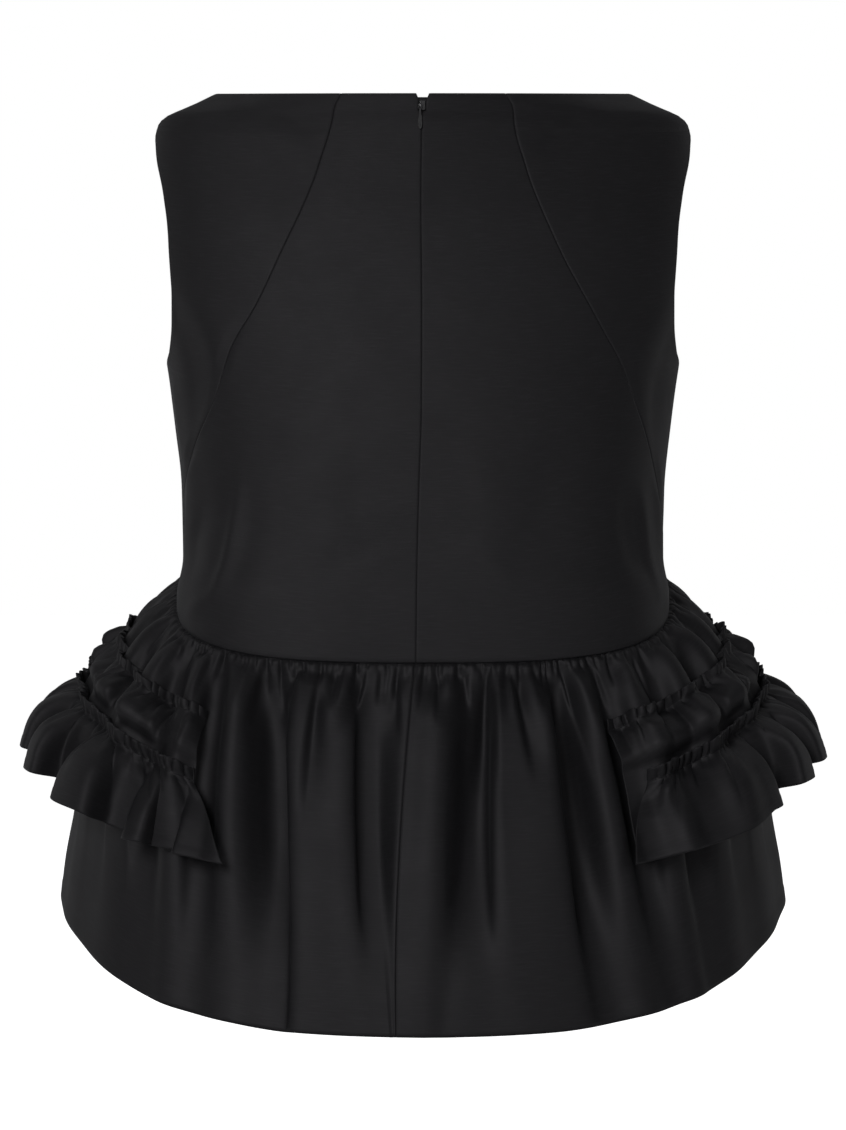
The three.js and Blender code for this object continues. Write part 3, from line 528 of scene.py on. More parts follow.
EDGE_STEPS = np.array([0, 0.35, 0.8, 1.5, 2.6, 4.2])
BODICE_ROWS = 100


def creases(points, strength):
    """Sum of soft ridges and troughs: each a bell curve across a bent line, tapered to nothing at its ends."""
    total = np.zeros(points.shape[:2])
    for k in range(len(BODICE_CREASES["height"])):
        c = {name: column[k] for name, column in BODICE_CREASES.items()}
        start, end = body_at(c["angle0"], c["z0"]), body_at(c["angle1"], c["z1"])
        line = end - start
        t = (points - start) @ line / (line @ line)
        side = unit(np.cross(line, start * [1, 1, 0]))
        off = points - start - np.clip(t, -0.5, 1.5)[..., None] * line
        across = off @ side + c["bend"] * np.sin(np.pi * np.clip(t, 0, 1))
        far = np.linalg.norm(off, axis=-1) > 60
        taper = smoothstep(t, -0.25, 0.3) * (1 - smoothstep(t, 0.6, 1.25))
        wide = c["width"] * np.where(across > 0, 0.75, 1.3)
        total += np.where(far, 0, c["height"] * strength * taper * np.exp(-(across / wide) ** 2))
    return total


def spread_columns(width, count):
    """Distances from the left edge: close steps at both edges and even steps between them."""
    close = EDGE_STEPS * np.minimum(1, width / 16)[:, None]
    even = np.linspace(0, 1, count)[1:-1]
    left, right = close, width[:, None] - close[:, ::-1]
    middle = mix(left[:, -1:], right[:, :1], even)
    return np.concatenate([left, middle, right], axis=1)


def bodice_panel(rows, left, right, soft, count, seam_dip, blend=None):
    """Panel between two edges given as angles for each row. Its outer face dips at seams and at free edges."""
    a_mm = 1 / degrees_a_mm((left + right) / 2, rows)
    width = np.abs(right - left) * a_mm
    offset = spread_columns(width, count)
    share = offset / np.maximum(width, 1e-6)[:, None]
    angle = mix(left[:, None], right[:, None], share) if blend is None else blend(share)
    row = np.broadcast_to(rows[:, None], angle.shape)
    base = bodice(angle, row)
    normal = bodice_normal(angle, row)
    from_side = np.minimum(offset, width[:, None] - offset)
    down = np.broadcast_to(lengths(base, 0)[:, [base.shape[1] // 2]] / MM, angle.shape)
    from_waist = down[-1:] - down
    dip = seam_dip * np.exp(-(from_side / 0.55) ** 2)
    dip = dip + 0.5 * np.exp(-(down / 0.9) ** 2) + 0.5 * np.exp(-(from_waist / 1.6) ** 2)
    quiet = smoothstep(from_side, 0, 9) * smoothstep(down, 0, 12) * smoothstep(from_waist, 0, 8)
    wave = creases(base, soft.crease) * quiet
    ripple = 0.12 * wander(11, row * 360 + angle, 23) * wander(12, angle * 2.6 + row * 90, 31)
    wave = wave + ripple * quiet
    outer = base + normal * (wave - dip)[..., None]
    inner = base + normal * (wave - soft.thickness / MM)[..., None]
    outer[-1, :, 2] = waist_at(outer[-1, :, 1]) + SEAM_GAP / 2
    inner[-1, :, 2] = waist_at(inner[-1, :, 1]) + SEAM_GAP / 2
    return outer, inner


def share_rows(last):
    """Rows from the neck edge down to a row, close together at the ends and where the armhole turns."""
    close = [0, 0.001, 0.0025, 0.005, 0.009, 0.0135, 0.02, 0.0317, 0.034, 0.037]
    turns = [SHOULDER_ROW, SHOULDER_END_ROW, UNDERARM_START_ROW, UNDERARM_ROW]
    even = np.linspace(0.045, 0.985, BODICE_ROWS)
    low = [0.988, 0.992, 0.995, 0.9975, 1]
    rows = np.unique(np.concatenate([close, turns, even, low]))
    return np.append(rows[rows < last - 1e-6], last)


def side_edge(rows, side, front=False):
    """Outer edge of a side panel: the shoulder seam, the armhole and the side seam, joined by short slants."""
    straight = np.full_like(rows, 90.0)
    arm = seam_angle(ARMHOLE, rows, start=110.0, mirror=True) if front else seam_angle(ARMHOLE, rows)
    into, out = SHOULDER_END_ROW, UNDERARM_START_ROW
    at_top = np.interp(into, rows, arm)
    at_low = np.interp(out, rows, arm)
    edge = np.where((rows > into) & (rows < out), arm, straight)
    top = (rows - SHOULDER_ROW) / (into - SHOULDER_ROW)
    edge = np.where((top > 0) & (top <= 1), mix(90, at_top, top), edge)
    low = (rows - out) / (UNDERARM_ROW - out)
    edge = np.where((low >= 0) & (low < 1), mix(at_low, 90, low), edge)
    return side * edge


def gap_angle(angle, row):
    """Half a seam gap in degrees."""
    return SEAM_GAP / 2 * degrees_a_mm(angle, row)


def back_panel(side, rows, near, far, soft, count):
    """Panel of the back from its edge nearer the centre to its far edge, on either side."""
    left, right = (near, far) if side > 0 else (far, near)
    return bodice_panel(rows, left, right, soft, count, 0.4)


def centre_back_panel(side, seam, tip_row, soft):
    """From the centre back seam, with the slit at its top, to the curved seam and below it the side seam."""
    rows = share_rows(1)
    centre = centre_angle(rows)
    slit = np.interp(rows, SLIT["row"], SLIT["half"])
    seam_side = np.where(rows > tip_row, side * 90.0, seam_angle(seam, rows))
    edge = seam_side - side * gap_angle(seam_side, rows)
    return back_panel(side, rows, centre + side * slit * degrees_a_mm(centre, rows), edge, soft, 70)


def side_back_panel(side, seam, tip_row, soft):
    """From the curved seam to the shoulder seam, the armhole and the side seam, down to a point."""
    rows = share_rows(tip_row)
    seam_side = seam_angle(seam, rows)
    edge = side_edge(rows, side)
    edge = edge - side * gap_angle(90.0, rows) * (np.abs(edge) > 89.99)
    return back_panel(side, rows, seam_side + side * gap_angle(seam_side, rows), edge, soft, 60)


def front_panel(soft):
    """From side seam to side seam. Its columns bunch towards the armholes by a cube of their share."""
    rows = share_rows(1)
    edge = side_edge(rows, 1, front=True)
    edge = edge + gap_angle(90.0, rows) * (edge < 90.01)

    def blend(share):
        t = 2 * share - 1
        return 180 + 90 * t + np.sign(t) * (90 - edge[:, None]) * np.abs(t) ** 3

    return bodice_panel(rows, edge, 360 - edge, soft, 110, 0.5, blend)


# Peplum

SEAM_STEPS = np.array([0, 0.6, 1.3, 2.2, 3.4, 4.8])
HEM_TURN = (PEPLUM_LENGTH - 12, PEPLUM_LENGTH - 10)
DRAWS = 512


def seam_run(place):
    """Distance along the waist seam of a place counted in fold lines, in millimetres."""
    grid = np.linspace(-FOLD_COUNT, 2 * FOLD_COUNT, 6001)
    x, y = ring(folds_to_angle(grid, 0.0), **WAIST)
    step = np.hypot(np.diff(x), np.diff(y))
    return np.interp(place, grid, np.concatenate([[0], np.cumsum(step)]))


def gathers(run, along, depth, seed, spacing, reach):
    """Gathers that hang from a stitched line: a bell-shaped hollow at every step, uneven in place, depth and
    length, which starts narrow, widens and fades out, with the cloth puffed out between them."""
    random = np.random.default_rng(seed)
    shift = random.uniform(-0.28, 0.28, DRAWS)
    size = random.uniform(0.45, 1.35, DRAWS)
    length = random.uniform(0, 1, DRAWS)
    nearest = np.round(run / spacing).astype(int)
    total = 0.45 * np.exp(-along / (0.5 * reach))
    for k in (nearest - 1, nearest, nearest + 1):
        draw = k % DRAWS
        far = reach * (0.35 + 1.2 * length[draw] ** 2)
        away = run - (k + shift[draw]) * spacing
        wide = spacing * (0.17 + 0.17 * smoothstep(along / far, 0, 0.6))
        total = total - size[draw] * np.exp(-(away / wide) ** 2) * np.exp(-(along / far) ** 2)
    return 1.6 * depth * total


def tucks(run, along, depth, seed, spacing, reach):
    """Teardrop hollows that start narrow just below a stitched line, widen and fade out: a bell curve with one
    steep side at every step, uneven in place, side, depth and length."""
    random = np.random.default_rng(seed)
    shift = random.uniform(-0.3, 0.3, DRAWS)
    size = random.uniform(0.4, 1.3, DRAWS)
    length = random.uniform(0.45, 1.5, DRAWS)
    side = np.where(random.uniform(0, 1, DRAWS) < 0.5, -1, 1)
    nearest = np.round(run / spacing).astype(int)
    total = np.zeros(np.broadcast(run, along).shape)
    for k in (nearest - 1, nearest, nearest + 1):
        draw = k % DRAWS
        t = along / (reach * length[draw])
        away = (run - (k + shift[draw]) * spacing) * side[draw]
        wide = spacing * (0.1 + 0.2 * smoothstep(t, 0, 0.6)) * np.where(away < 0, 0.5, 1.4)
        bell = size[draw] * np.exp(-(away / wide) ** 2)
        total = total - bell * smoothstep(t, -0.15, 0.25) * (1 - smoothstep(t, 0.35, 1.2))
    return depth * total


def peplum_surface(place, along, soft):
    """Peplum with folds, gathers below the seam, uneven long ripples and a soft hem fold."""
    run = seam_run(place)
    angle = folds_to_angle(place, along)
    normal = skirt_normal(angle, along)
    size = soft.gather / MM
    out = tucks(run, along, 0.75 * size, 21, 5.6, 11) + tucks(run, along, 1.35 * size, 23, 14, 30)
    below = smoothstep(along, 25, 90)
    out = out + 0.4 * below * wander(31, run + 0.25 * along, 31)
    out = out + 0.7 * below * wander(33, along + 0.3 * run, 60) * wander(34, run, 43)
    out = out + 0.35 * smoothstep(along, *HEM_TURN)
    out = out + 1.1 * np.exp(-((along - 4) / 3.5) ** 2) - 0.8 * np.exp(-(along / 1.3) ** 2)
    return peplum_base(place, along) + normal * out[..., None]


def peplum_normal(place, along, soft):
    """Outward normal of the peplum's surface, by differences that stay between the seam and the hem."""
    a_place = peplum_surface(place + 0.02, along, soft) - peplum_surface(place - 0.02, along, soft)
    low, high = np.clip(along - 0.5, 0, None), np.clip(along + 0.5, None, PEPLUM_LENGTH)
    a_along = peplum_surface(place, high, soft) - peplum_surface(place, low, soft)
    return unit(np.cross(a_along, a_place))


def place_mm(place, along, step):
    """Millimetres round the peplum's base from one fold line to the next."""
    ahead = peplum_base(place + step, along) - peplum_base(place - step, along)
    return np.linalg.norm(ahead, axis=-1) / (2 * step)


def peplum_piece(first, last, columns, rows, soft):
    """Peplum piece between two fold lines with half a seam gap at each end."""
    ends = np.array([first, last], float)
    edge_mm = np.concatenate([[SEAM_GAP / 2], EDGE_STEPS[1:]])
    low_rows = np.linspace(60, PEPLUM_LENGTH, rows - rows // 3 + 1)[1:]
    along = np.concatenate([SEAM_STEPS, np.linspace(6.5, 60, rows // 3), low_rows])
    wide = place_mm(ends[:, None], along[None], 0.1)
    even = np.linspace(0, 1, columns)[1:-1]
    left = first + edge_mm[None] / wide[0][:, None]
    right = last - edge_mm[None, ::-1] / wide[1][:, None]
    middle = mix(left[:, -1:], right[:, :1], even)
    place = np.concatenate([left, middle, right], axis=1)
    down = np.broadcast_to(along[:, None], place.shape)
    outer = peplum_surface(place, down, soft)
    normal = peplum_normal(place, down, soft)
    thick = soft.thickness / MM * (1 + 0.5 * smoothstep(down, *HEM_TURN))
    inner = outer - normal * thick[..., None]
    from_end = np.minimum(place - first, last - place) * np.minimum(wide[0], wide[1])[:, None]
    dip = 0.7 * np.exp(-(from_end / 0.75) ** 2)
    outer = outer - normal * dip[..., None]
    outer[0, :, 2] = waist_at(outer[0, :, 1]) - SEAM_GAP / 2
    inner[0, :, 2] = waist_at(inner[0, :, 1]) - SEAM_GAP / 2
    return outer, inner


# Ruffles

RUFFLE_ENDS = {
    "left_upper": (222, 317.6),
    "left_lower": (221, 319),
    "right_upper": (35.8, 143),
    "right_lower": (40.8, 140),
}
RUFFLE_COLUMN_COUNT = 520
FRILL_STEP = 5.2
STITCHED_STEP = 8
STITCH_HALF = 0.22
STITCH_RISE = 0.13
ROLL_SHARE = 0.22
MM_A_DEGREE = 3.9


def column_near(angle, along):
    """Whole column, four to a fold line, that lies nearest to an angle."""
    columns = np.arange(-110, 331)
    found = folds_to_angle(columns / COLUMNS_A_FOLD, float(along))
    return int(columns[np.argmin(np.abs(found - angle))])


def ruffle_fold(angle, shift):
    """Height of the wide folds at an angle, eased from crest to hollow by half a cosine wave."""
    turned = np.where(angle > 180, angle - 360, angle)
    at = np.abs(turned) + shift
    made = {}
    for side in ("right", "left"):
        knots = RUFFLE_FOLDS[side]
        i = np.clip(np.searchsorted(knots, at, side="right") - 1, 0, len(knots) - 2)
        gap = knots[i + 1] - knots[i]
        t = np.clip((at - knots[i]) / gap, 0, 1)
        height = RUFFLE_FOLDS[side + "_height"]
        wave = mix(height[i], height[i + 1], (1 - np.cos(np.pi * t)) / 2)
        step = np.minimum(np.abs(height[i + 1] - height[i]) / 1.5, 1) ** 2
        made[side] = wave, np.minimum(gap, 11) * step * np.sin(2 * np.pi * t)
    wave, roll = (np.where(turned > 0, *pair) for pair in zip(made["right"], made["left"]))
    flat = np.tanh(1.9 * wave) / np.tanh(1.9)
    return np.where(flat < 0, 1.2 * flat, flat), roll * np.sign(turned)


def ruffle_surface(column, row, rows, ends, back_end, shift, seed, soft):
    """Ruffle over the peplum: each row of its table gives where it lies, how far out, and its folds' height.
    The heading is a fine frill of uneven pleats; below the stitches the pleats run out into the folds."""
    def read(name):
        return look(rows, "row", row, name)

    first, last = ends
    from_end = last - column if back_end > 0 else column - first
    lead = back_end * 1.4 * read("lead") * np.exp(-from_end / LEAD_FADE)
    place = (column + lead) / COLUMNS_A_FOLD
    side = sideness(folds_to_angle(place, read("along")), *RUFFLE_SIDE_ZONE)
    along = mix(read("along"), read("side_along"), side)
    angle = folds_to_angle(place, along)
    normal = skirt_normal(angle, along)
    run = ruffle_run(column)
    from_stitch = np.abs(along - mix(rows["along"][1], rows["side_along"][1], side))
    size = soft.frill / MM
    near_stitch = np.maximum(from_stitch - 0.5, 0)
    frill = gathers(run, near_stitch, 0.75 * size, seed, FRILL_STEP, 9)
    frill = frill + tucks(run, near_stitch, 1.9 * size, seed + 9, 2.5 * FRILL_STEP, 26)
    pleats = gathers(run, near_stitch, 1.7 * size, seed, FRILL_STEP, 30)
    frill = np.where(row < 1, pleats, frill) * (0.25 + 0.75 * smoothstep(from_stitch, 0, 3.5))
    fold, roll = ruffle_fold(angle, shift)
    share = read("fold") / 10
    out = mix(read("out"), read("side_out"), side) + read("fold") * fold + frill
    heading = np.clip(1 - row, 0, 1)
    lip = 0.9 * wander(seed + 5, run, 0.5 * FRILL_STEP) * heading
    out = out + 1.4 * wander(seed + 4, run, 2 * FRILL_STEP) * heading
    tip = np.clip((row - 1) / (len(rows["row"]) - 2), 0, 1)
    slow, quick = (0.5, 0.9) if shift else (1.2, 0.7)
    out = out + tip * (slow * wander(seed + 6, run, 26) + quick * wander(seed + 7, run, 11))
    out = out * mix(1, mix(0.55, 1, smoothstep(from_end, 0, 9)), smoothstep(tip, 0, 0.3))
    out = (out + np.hypot(out, 2)) / 2 + 0.4 * smoothstep(tip, 0.88, 0.91)
    lift = lip + 2.0 * tip * wander(seed + 8, run, 40)
    sideways = unit(np.cross(normal, np.broadcast_to([0.0, 0.0, 1.0], normal.shape)))
    wobble = 0.7 * wander(seed + 3, run, 0.9 * FRILL_STEP) * heading
    aside = (ROLL_SHARE * MM_A_DEGREE * roll * share + wobble) * smoothstep(from_end, 0, 6)
    down = np.clip(along - lift, 0, PEPLUM_LENGTH)
    height = fold_height(place, down)
    free = skirt(angle, down) + normal * ((height - 3 + np.hypot(height + 3, 5)) / 2)[..., None]
    base = mix(peplum_base(place, down), free, smoothstep(tip, 0, 0.4)[..., None]) if shift else free
    return base + normal * out[..., None] - sideways * aside[..., None]


def ruffle_run(column):
    """Distance along the stitched line of a ruffle, in millimetres."""
    grid = np.linspace(-120, 340, 3001)
    x, y = ring(folds_to_angle(grid / COLUMNS_A_FOLD, 60.0), 205, 150, 150, 2.4)
    return np.interp(column, grid, np.concatenate([[0], np.cumsum(np.hypot(np.diff(x), np.diff(y)))]))


def ruffle_piece(name, soft):
    """Ruffle shell on a grid: even columns, and rows close together at the heading and the stitched line."""
    upper = name.endswith("upper")
    rows = UPPER_RUFFLE if upper else LOWER_RUFFLE
    back_end = 1 if name.startswith("left") else -1
    shift = UPPER_SHIFT if upper else 0
    seed = 40 + 10 * sorted(RUFFLE_ENDS).index(name)
    ends = [column_near(angle, rows["along"][1]) for angle in RUFFLE_ENDS[name]]
    last = rows["row"][-1]
    heading = np.linspace(0, 0.88, STITCHED_STEP - 1)
    flounce = np.linspace(1.2, last, 27 if upper else 30)
    row, column = np.meshgrid(
        np.concatenate([heading, [0.95, 1, 1.05, 1.12], flounce]),
        np.linspace(*ends, RUFFLE_COLUMN_COUNT),
        indexing="ij",
    )

    def make(c, r):
        return ruffle_surface(c, r, rows, ends, back_end, shift, seed, soft)

    inner = make(column, row)
    a_column = make(column + 0.05, row) - make(column - 0.05, row)
    a_row = make(column, np.clip(row + 0.02, 0, last)) - make(column, np.clip(row - 0.02, 0, last))
    normal = unit(np.cross(a_row, a_column))
    outer = inner + normal * (soft.thickness / MM)
    return outer, inner, normal[STITCHED_STEP]


# Seam allowances and tape

ALLOWANCE_HALF = 8
ALLOWANCE_DEPTH = 0.2
ALLOWANCE_THICKNESS = 0.5


def bodice_strip(centre, rows, half, deep, thick, count=9):
    """Strip that follows a line of angles down the bodice, a given depth inside its outer face."""
    across = np.linspace(-half, half, count) * degrees_a_mm(centre, rows)[:, None]
    angle = centre[:, None] + across
    row = np.broadcast_to(rows[:, None], angle.shape)
    normal = bodice_normal(angle, row)
    face = bodice(angle, row) - normal * deep
    return face, face - normal * thick


def peplum_strip(place, soft, deep, thick, count=9):
    """Strip down a fold line of the peplum, inside its cloth."""
    along = np.linspace(1.5, PEPLUM_LENGTH - 3, 90)
    across = np.linspace(-ALLOWANCE_HALF, ALLOWANCE_HALF, count)[None] / place_mm(place, along, 0.02)[:, None]
    places = place + across
    down = np.broadcast_to(along[:, None], places.shape)
    outer = peplum_surface(places, down, soft)
    normal = peplum_normal(places, down, soft)
    return outer - normal * deep, outer - normal * (deep + thick)


def waist_strip(deep, thick):
    """Band of seam allowances round the inside of the waist seam, drawn in at its upper edge."""
    angle = np.broadcast_to(np.linspace(-90, 269.9, 241)[None], (5, 241))
    row = 1 - np.array([-0.7, 1, 4, 8, 10])[:, None] / 360 + 0 * angle
    normal = bodice_normal(angle, row)
    face = bodice(angle, row) - normal * deep
    return face[::-1], (face - normal * thick)[::-1]


def stitches(name, line, normal, material):
    """Row of stitches on a line of points: each a bar of three rings of four corners, raised in its middle."""
    first = np.arange(2, len(line) - 4, 4)
    index = first[:, None] + np.arange(3)
    middle, up = line[index], normal[index]
    side = unit(np.cross(up, middle[:, 2:] - middle[:, :1]))
    lift = np.array([-0.1, 0.12, -0.1])[:, None]
    corners = [
        middle + side * a * STITCH_HALF + up * (b * STITCH_RISE + lift)
        for a, b in ((-1, -1), (1, -1), (1, 1), (-1, 1))
    ]
    points = np.stack(corners, axis=2).reshape(-1, 3)
    tube = [
        [r + j, r + (j + 1) % 4, r + 4 + (j + 1) % 4, r + 4 + j] for r in (0, 4) for j in range(4)
    ]
    one = np.array(tube + [[3, 2, 1, 0], [8, 9, 10, 11]])
    faces = (one[None] + 12 * np.arange(len(first))[:, None, None]).reshape(-1, 4)
    return make_mesh(name, points, faces, material)


COIL_PITCH = 1.4
COIL_POINTS = 6
COIL_THREAD_HALF = 0.21
COIL_ROWS = (0.045, 0.97)
TAPE_ROWS = (0.006, 0.975)
TAPE_DEPTH = 1.8
TAPE_THICKNESS = 0.7


def zip_coil(side, material):
    """One row of the closed zip's coil: a helix of four-sided thread inside the tape, level with the seam."""
    rows = np.linspace(*COIL_ROWS, 400)
    centre = centre_angle(rows)
    line = bodice(centre, rows)
    run = np.concatenate([[0], np.cumsum(np.linalg.norm(np.diff(line, axis=0), axis=1))])
    count = int(run[-1] / COIL_PITCH) * COIL_POINTS
    row = np.interp(np.linspace(0, run[-1], count), run, rows)
    turn = 2 * np.pi * (np.arange(count) / COIL_POINTS + (0.5 if side > 0 else 0))
    middle = centre_angle(row)
    angle = middle + side * (0.75 + 1.0 * np.cos(turn)) * degrees_a_mm(middle, row)
    normal = bodice_normal(middle, row)
    path = bodice(angle, row) - normal * (3.0 + 0.4 * np.sin(turn))[:, None]
    ahead = unit(np.gradient(path, axis=0))
    one = unit(np.cross(ahead, normal)) * COIL_THREAD_HALF
    two = np.cross(one, ahead)
    points = np.stack([path + one + two, path - one + two, path - one - two, path + one - two], axis=1)
    grid = np.arange(count * 4).reshape(count, 4)
    tube = quads(np.concatenate([grid, grid[:, :1]], axis=1))
    faces = np.concatenate([tube, grid[:1, ::-1], grid[-1:]])
    name = "zip_coil_right" if side > 0 else "zip_coil_left"
    return make_mesh(name, points.reshape(-1, 3), faces, material)


# Materials

def new_group(name, inputs, outputs):
    """Node group with named sockets: (name, kind, default)."""
    group = bpy.data.node_groups.new(name, "ShaderNodeTree")
    for label, kind, default in inputs:
        socket = group.interface.new_socket(name=label, in_out="INPUT", socket_type=kind)
        if default is not None:
            socket.default_value = default
    for label, kind in outputs:
        group.interface.new_socket(name=label, in_out="OUTPUT", socket_type=kind)
    return group, group.nodes.new("NodeGroupInput"), group.nodes.new("NodeGroupOutput")


def feed(tree, node, values):
    """Gives a node's inputs, by name or number, a value or a link from another node's output."""
    for socket, value in values.items():
        if isinstance(value, bpy.types.NodeSocket):
            tree.links.new(value, node.inputs[socket])
        else:
            node.inputs[socket].default_value = value


def add_node(tree, kind, values=None, **settings):
    """Node with its settings and inputs."""
    node = tree.nodes.new(kind)
    for name, value in settings.items():
        setattr(node, name, value)
    feed(tree, node, values or {})
    return node


def noise(tree, vector, scale, detail, roughness):
    """How dark a cloudy pattern is."""
    values = {"Vector": vector, "Scale": scale, "Detail": detail, "Roughness": roughness}
    return add_node(tree, "ShaderNodeTexNoise", values).outputs["Fac"]


def reckon(tree, operation, a, b):
    """Sum or product of two values."""
    return add_node(tree, "ShaderNodeMath", {0: a, 1: b}, operation=operation).outputs[0]


def spread(tree, value, low, high):
    """A value from 0 to 1 spread between two numbers."""
    values = {"Value": value, "To Min": low, "To Max": high}
    return add_node(tree, "ShaderNodeMapRange", values).outputs["Result"]


def bumped(tree, height, strength, distance):
    """Normals raised by a height."""
    values = {"Strength": strength, "Distance": distance, "Height": height}
    return add_node(tree, "ShaderNodeBump", values).outputs["Normal"]


def stretched(tree, vector, scale):
    """The map stretched by a scale along its weft and its warp."""
    return add_node(tree, "ShaderNodeMapping", {"Scale": scale, "Vector": vector}).outputs["Vector"]


def weave_group():
    """Cloth with a fine rib across it: uneven weft threads, thicker slubs and a faint cloudy unevenness."""
    group, entry, leave = new_group(
        "ribbed weave",
        [("Map", "NodeSocketVector", None), ("Rib", "NodeSocketFloat", 1.0), ("Slub", "NodeSocketFloat", 1.0)],
        [("Height", "NodeSocketFloat"), ("Slubs", "NodeSocketFloat"), ("Clouds", "NodeSocketFloat")],
    )
    spot = entry.outputs["Map"]
    threads = noise(group, stretched(group, spot, (260, 2300, 1)), 1.0, 2.0, 0.6)
    slubs = noise(group, stretched(group, spot, (70, 900, 1)), 1.0, 1.0, 0.5)
    rib = add_node(group, "ShaderNodeTexWave", {
        "Vector": stretched(group, spot, (180, 700, 1)), "Scale": 1.0, "Distortion": 0.6, "Detail": 1.0,
    }, wave_type="BANDS", bands_direction="Y", wave_profile="SIN")
    sharp = add_node(group, "ShaderNodeMapRange", {
        "Value": slubs, "From Min": 0.42, "From Max": 0.78,
    }, interpolation_type="SMOOTHSTEP").outputs["Result"]
    fine = reckon(group, "MULTIPLY", rib.outputs["Fac"], entry.outputs["Rib"])
    rough = reckon(group, "MULTIPLY", sharp, entry.outputs["Slub"])
    feed(group, leave, {
        "Height": reckon(group, "ADD", reckon(group, "ADD", fine, rough), threads),
        "Slubs": sharp,
        "Clouds": noise(group, spot, 26.0, 3.0, 0.55),
    })
    return group


def new_material(name, values):
    """Material with a Principled shader and its constant values."""
    material = bpy.data.materials.new(name)
    material.use_nodes = True
    shader = material.node_tree.nodes["Principled BSDF"]
    feed(material.node_tree, shader, values)
    return material, material.node_tree, shader


def colour_ramp(tree, value, dark, light):
    """Colour between a dark and a light one."""
    values = {"Factor": value, "A": dark, "B": light}
    return add_node(tree, "ShaderNodeMix", values, data_type="RGBA").outputs["Result"]


def cloth_material(name, weave, colour, rough=(0.54, 0.68), rib=1.0, slub=1.0):
    """Black cloth: the weave sets bump, small colour differences and where the gloss is broken."""
    material, tree, shader = new_material(name, {
        "Specular IOR Level": 0.42,
        "Specular Tint": (0.98, 0.955, 1, 1),
        "Sheen Weight": 0.05,
        "Sheen Roughness": 0.35,
        "Sheen Tint": (0.75, 0.78, 0.84, 1),
        "Anisotropic": 0.25,
    })
    spot = add_node(tree, "ShaderNodeUVMap", uv_map="cloth")
    cloth = add_node(tree, "ShaderNodeGroup", node_tree=weave)
    feed(tree, cloth, {"Rib": rib, "Slub": slub, "Map": spot.outputs["UV"]})
    clouds = cloth.outputs["Clouds"]
    dark = tuple(0.72 * c for c in colour) + (1,)
    light = tuple(1.45 * c for c in colour) + (1,)
    thread = colour_ramp(tree, cloth.outputs["Slubs"], dark, light)
    feed(tree, shader, {
        "Base Color": colour_ramp(tree, 0.35, thread, colour_ramp(tree, clouds, dark, light)),
        "Roughness": spread(tree, clouds, *rough),
        "Normal": bumped(tree, cloth.outputs["Height"], 0.3, 0.0001),
    })
    return material


def metal_material(name, colour):
    """Dark plated metal: brighter along fine scratches, which also break its gloss."""
    material, tree, shader = new_material(name, {"Metallic": 1.0, "Coat Weight": 0.2, "Coat Roughness": 0.2})
    spot = add_node(tree, "ShaderNodeTexCoord")
    scratches = noise(tree, stretched(tree, spot.outputs["Object"], (1, 1, 0.2)), 900.0, 4.0, 0.7)
    mask = add_node(tree, "ShaderNodeMapRange", {"Value": scratches, "From Min": 0.6, "From Max": 0.75})
    bare = tuple(min(1, 2.2 * c) for c in colour) + (1,)
    feed(tree, shader, {
        "Base Color": colour_ramp(tree, mask.outputs["Result"], (*colour, 1), bare),
        "Roughness": spread(tree, scratches, 0.14, 0.3),
        "Normal": bumped(tree, scratches, 0.2, 0.00005),
    })
    return material


def kept(name, make):
    """A material or node group by name, made once."""
    return bpy.data.materials.get(name) or bpy.data.node_groups.get(name) or make()


def shell_cloth(soft):
    """The top's own cloth."""
    weave = kept("ribbed weave", weave_group)
    return kept("black faille", lambda: cloth_material("black faille", weave, tuple(soft.colour)))


FLOOR_HALF = 30000.0
FLOOR_HEIGHT = -800.0


# Settings that a user would change

class SoftSettings(bpy.types.PropertyGroup):
    thickness: FloatProperty(
        name="Cloth Thickness", description="Wall of the cloth that shows", default=0.0009,
        unit="LENGTH", subtype="DISTANCE"
    )
    crease: FloatProperty(
        name="Crease Strength", description="Share of the bodice's soft creases", default=1.5, min=0, max=2
    )
    gather: FloatProperty(
        name="Gather Depth", description="Depth of the gathers below the waist seam", default=0.0026,
        unit="LENGTH"
    )
    frill: FloatProperty(
        name="Frill Depth", description="Depth of the fine waves of the ruffle headings", default=0.0019,
        unit="LENGTH"
    )
    colour: FloatVectorProperty(
        name="Cloth Colour", description="Colour of the top's cloth", default=(0.0088, 0.0086, 0.0099),
        size=3, subtype="COLOR"
    )


class StageSettings(bpy.types.PropertyGroup):
    floor: FloatVectorProperty(
        name="Floor Colour", description="Colour of the floor", default=(0.93, 0.93, 0.93),
        size=3, subtype="COLOR"
    )
    light: FloatProperty(name="Light", description="Strength of the soft lights", default=1.0, min=0)
    distance: FloatProperty(
        name="Camera Distance", description="From the side seams to the camera", default=2.6,
        unit="LENGTH", subtype="DISTANCE"
    )
    height: FloatProperty(
        name="Camera Height", description="Height of the camera in the part's frame", default=-0.3416,
        unit="LENGTH"
    )
    view: FloatProperty(
        name="View Height", description="Height that fills the picture at the side seams", default=0.8178,
        unit="LENGTH"
    )


# Operators

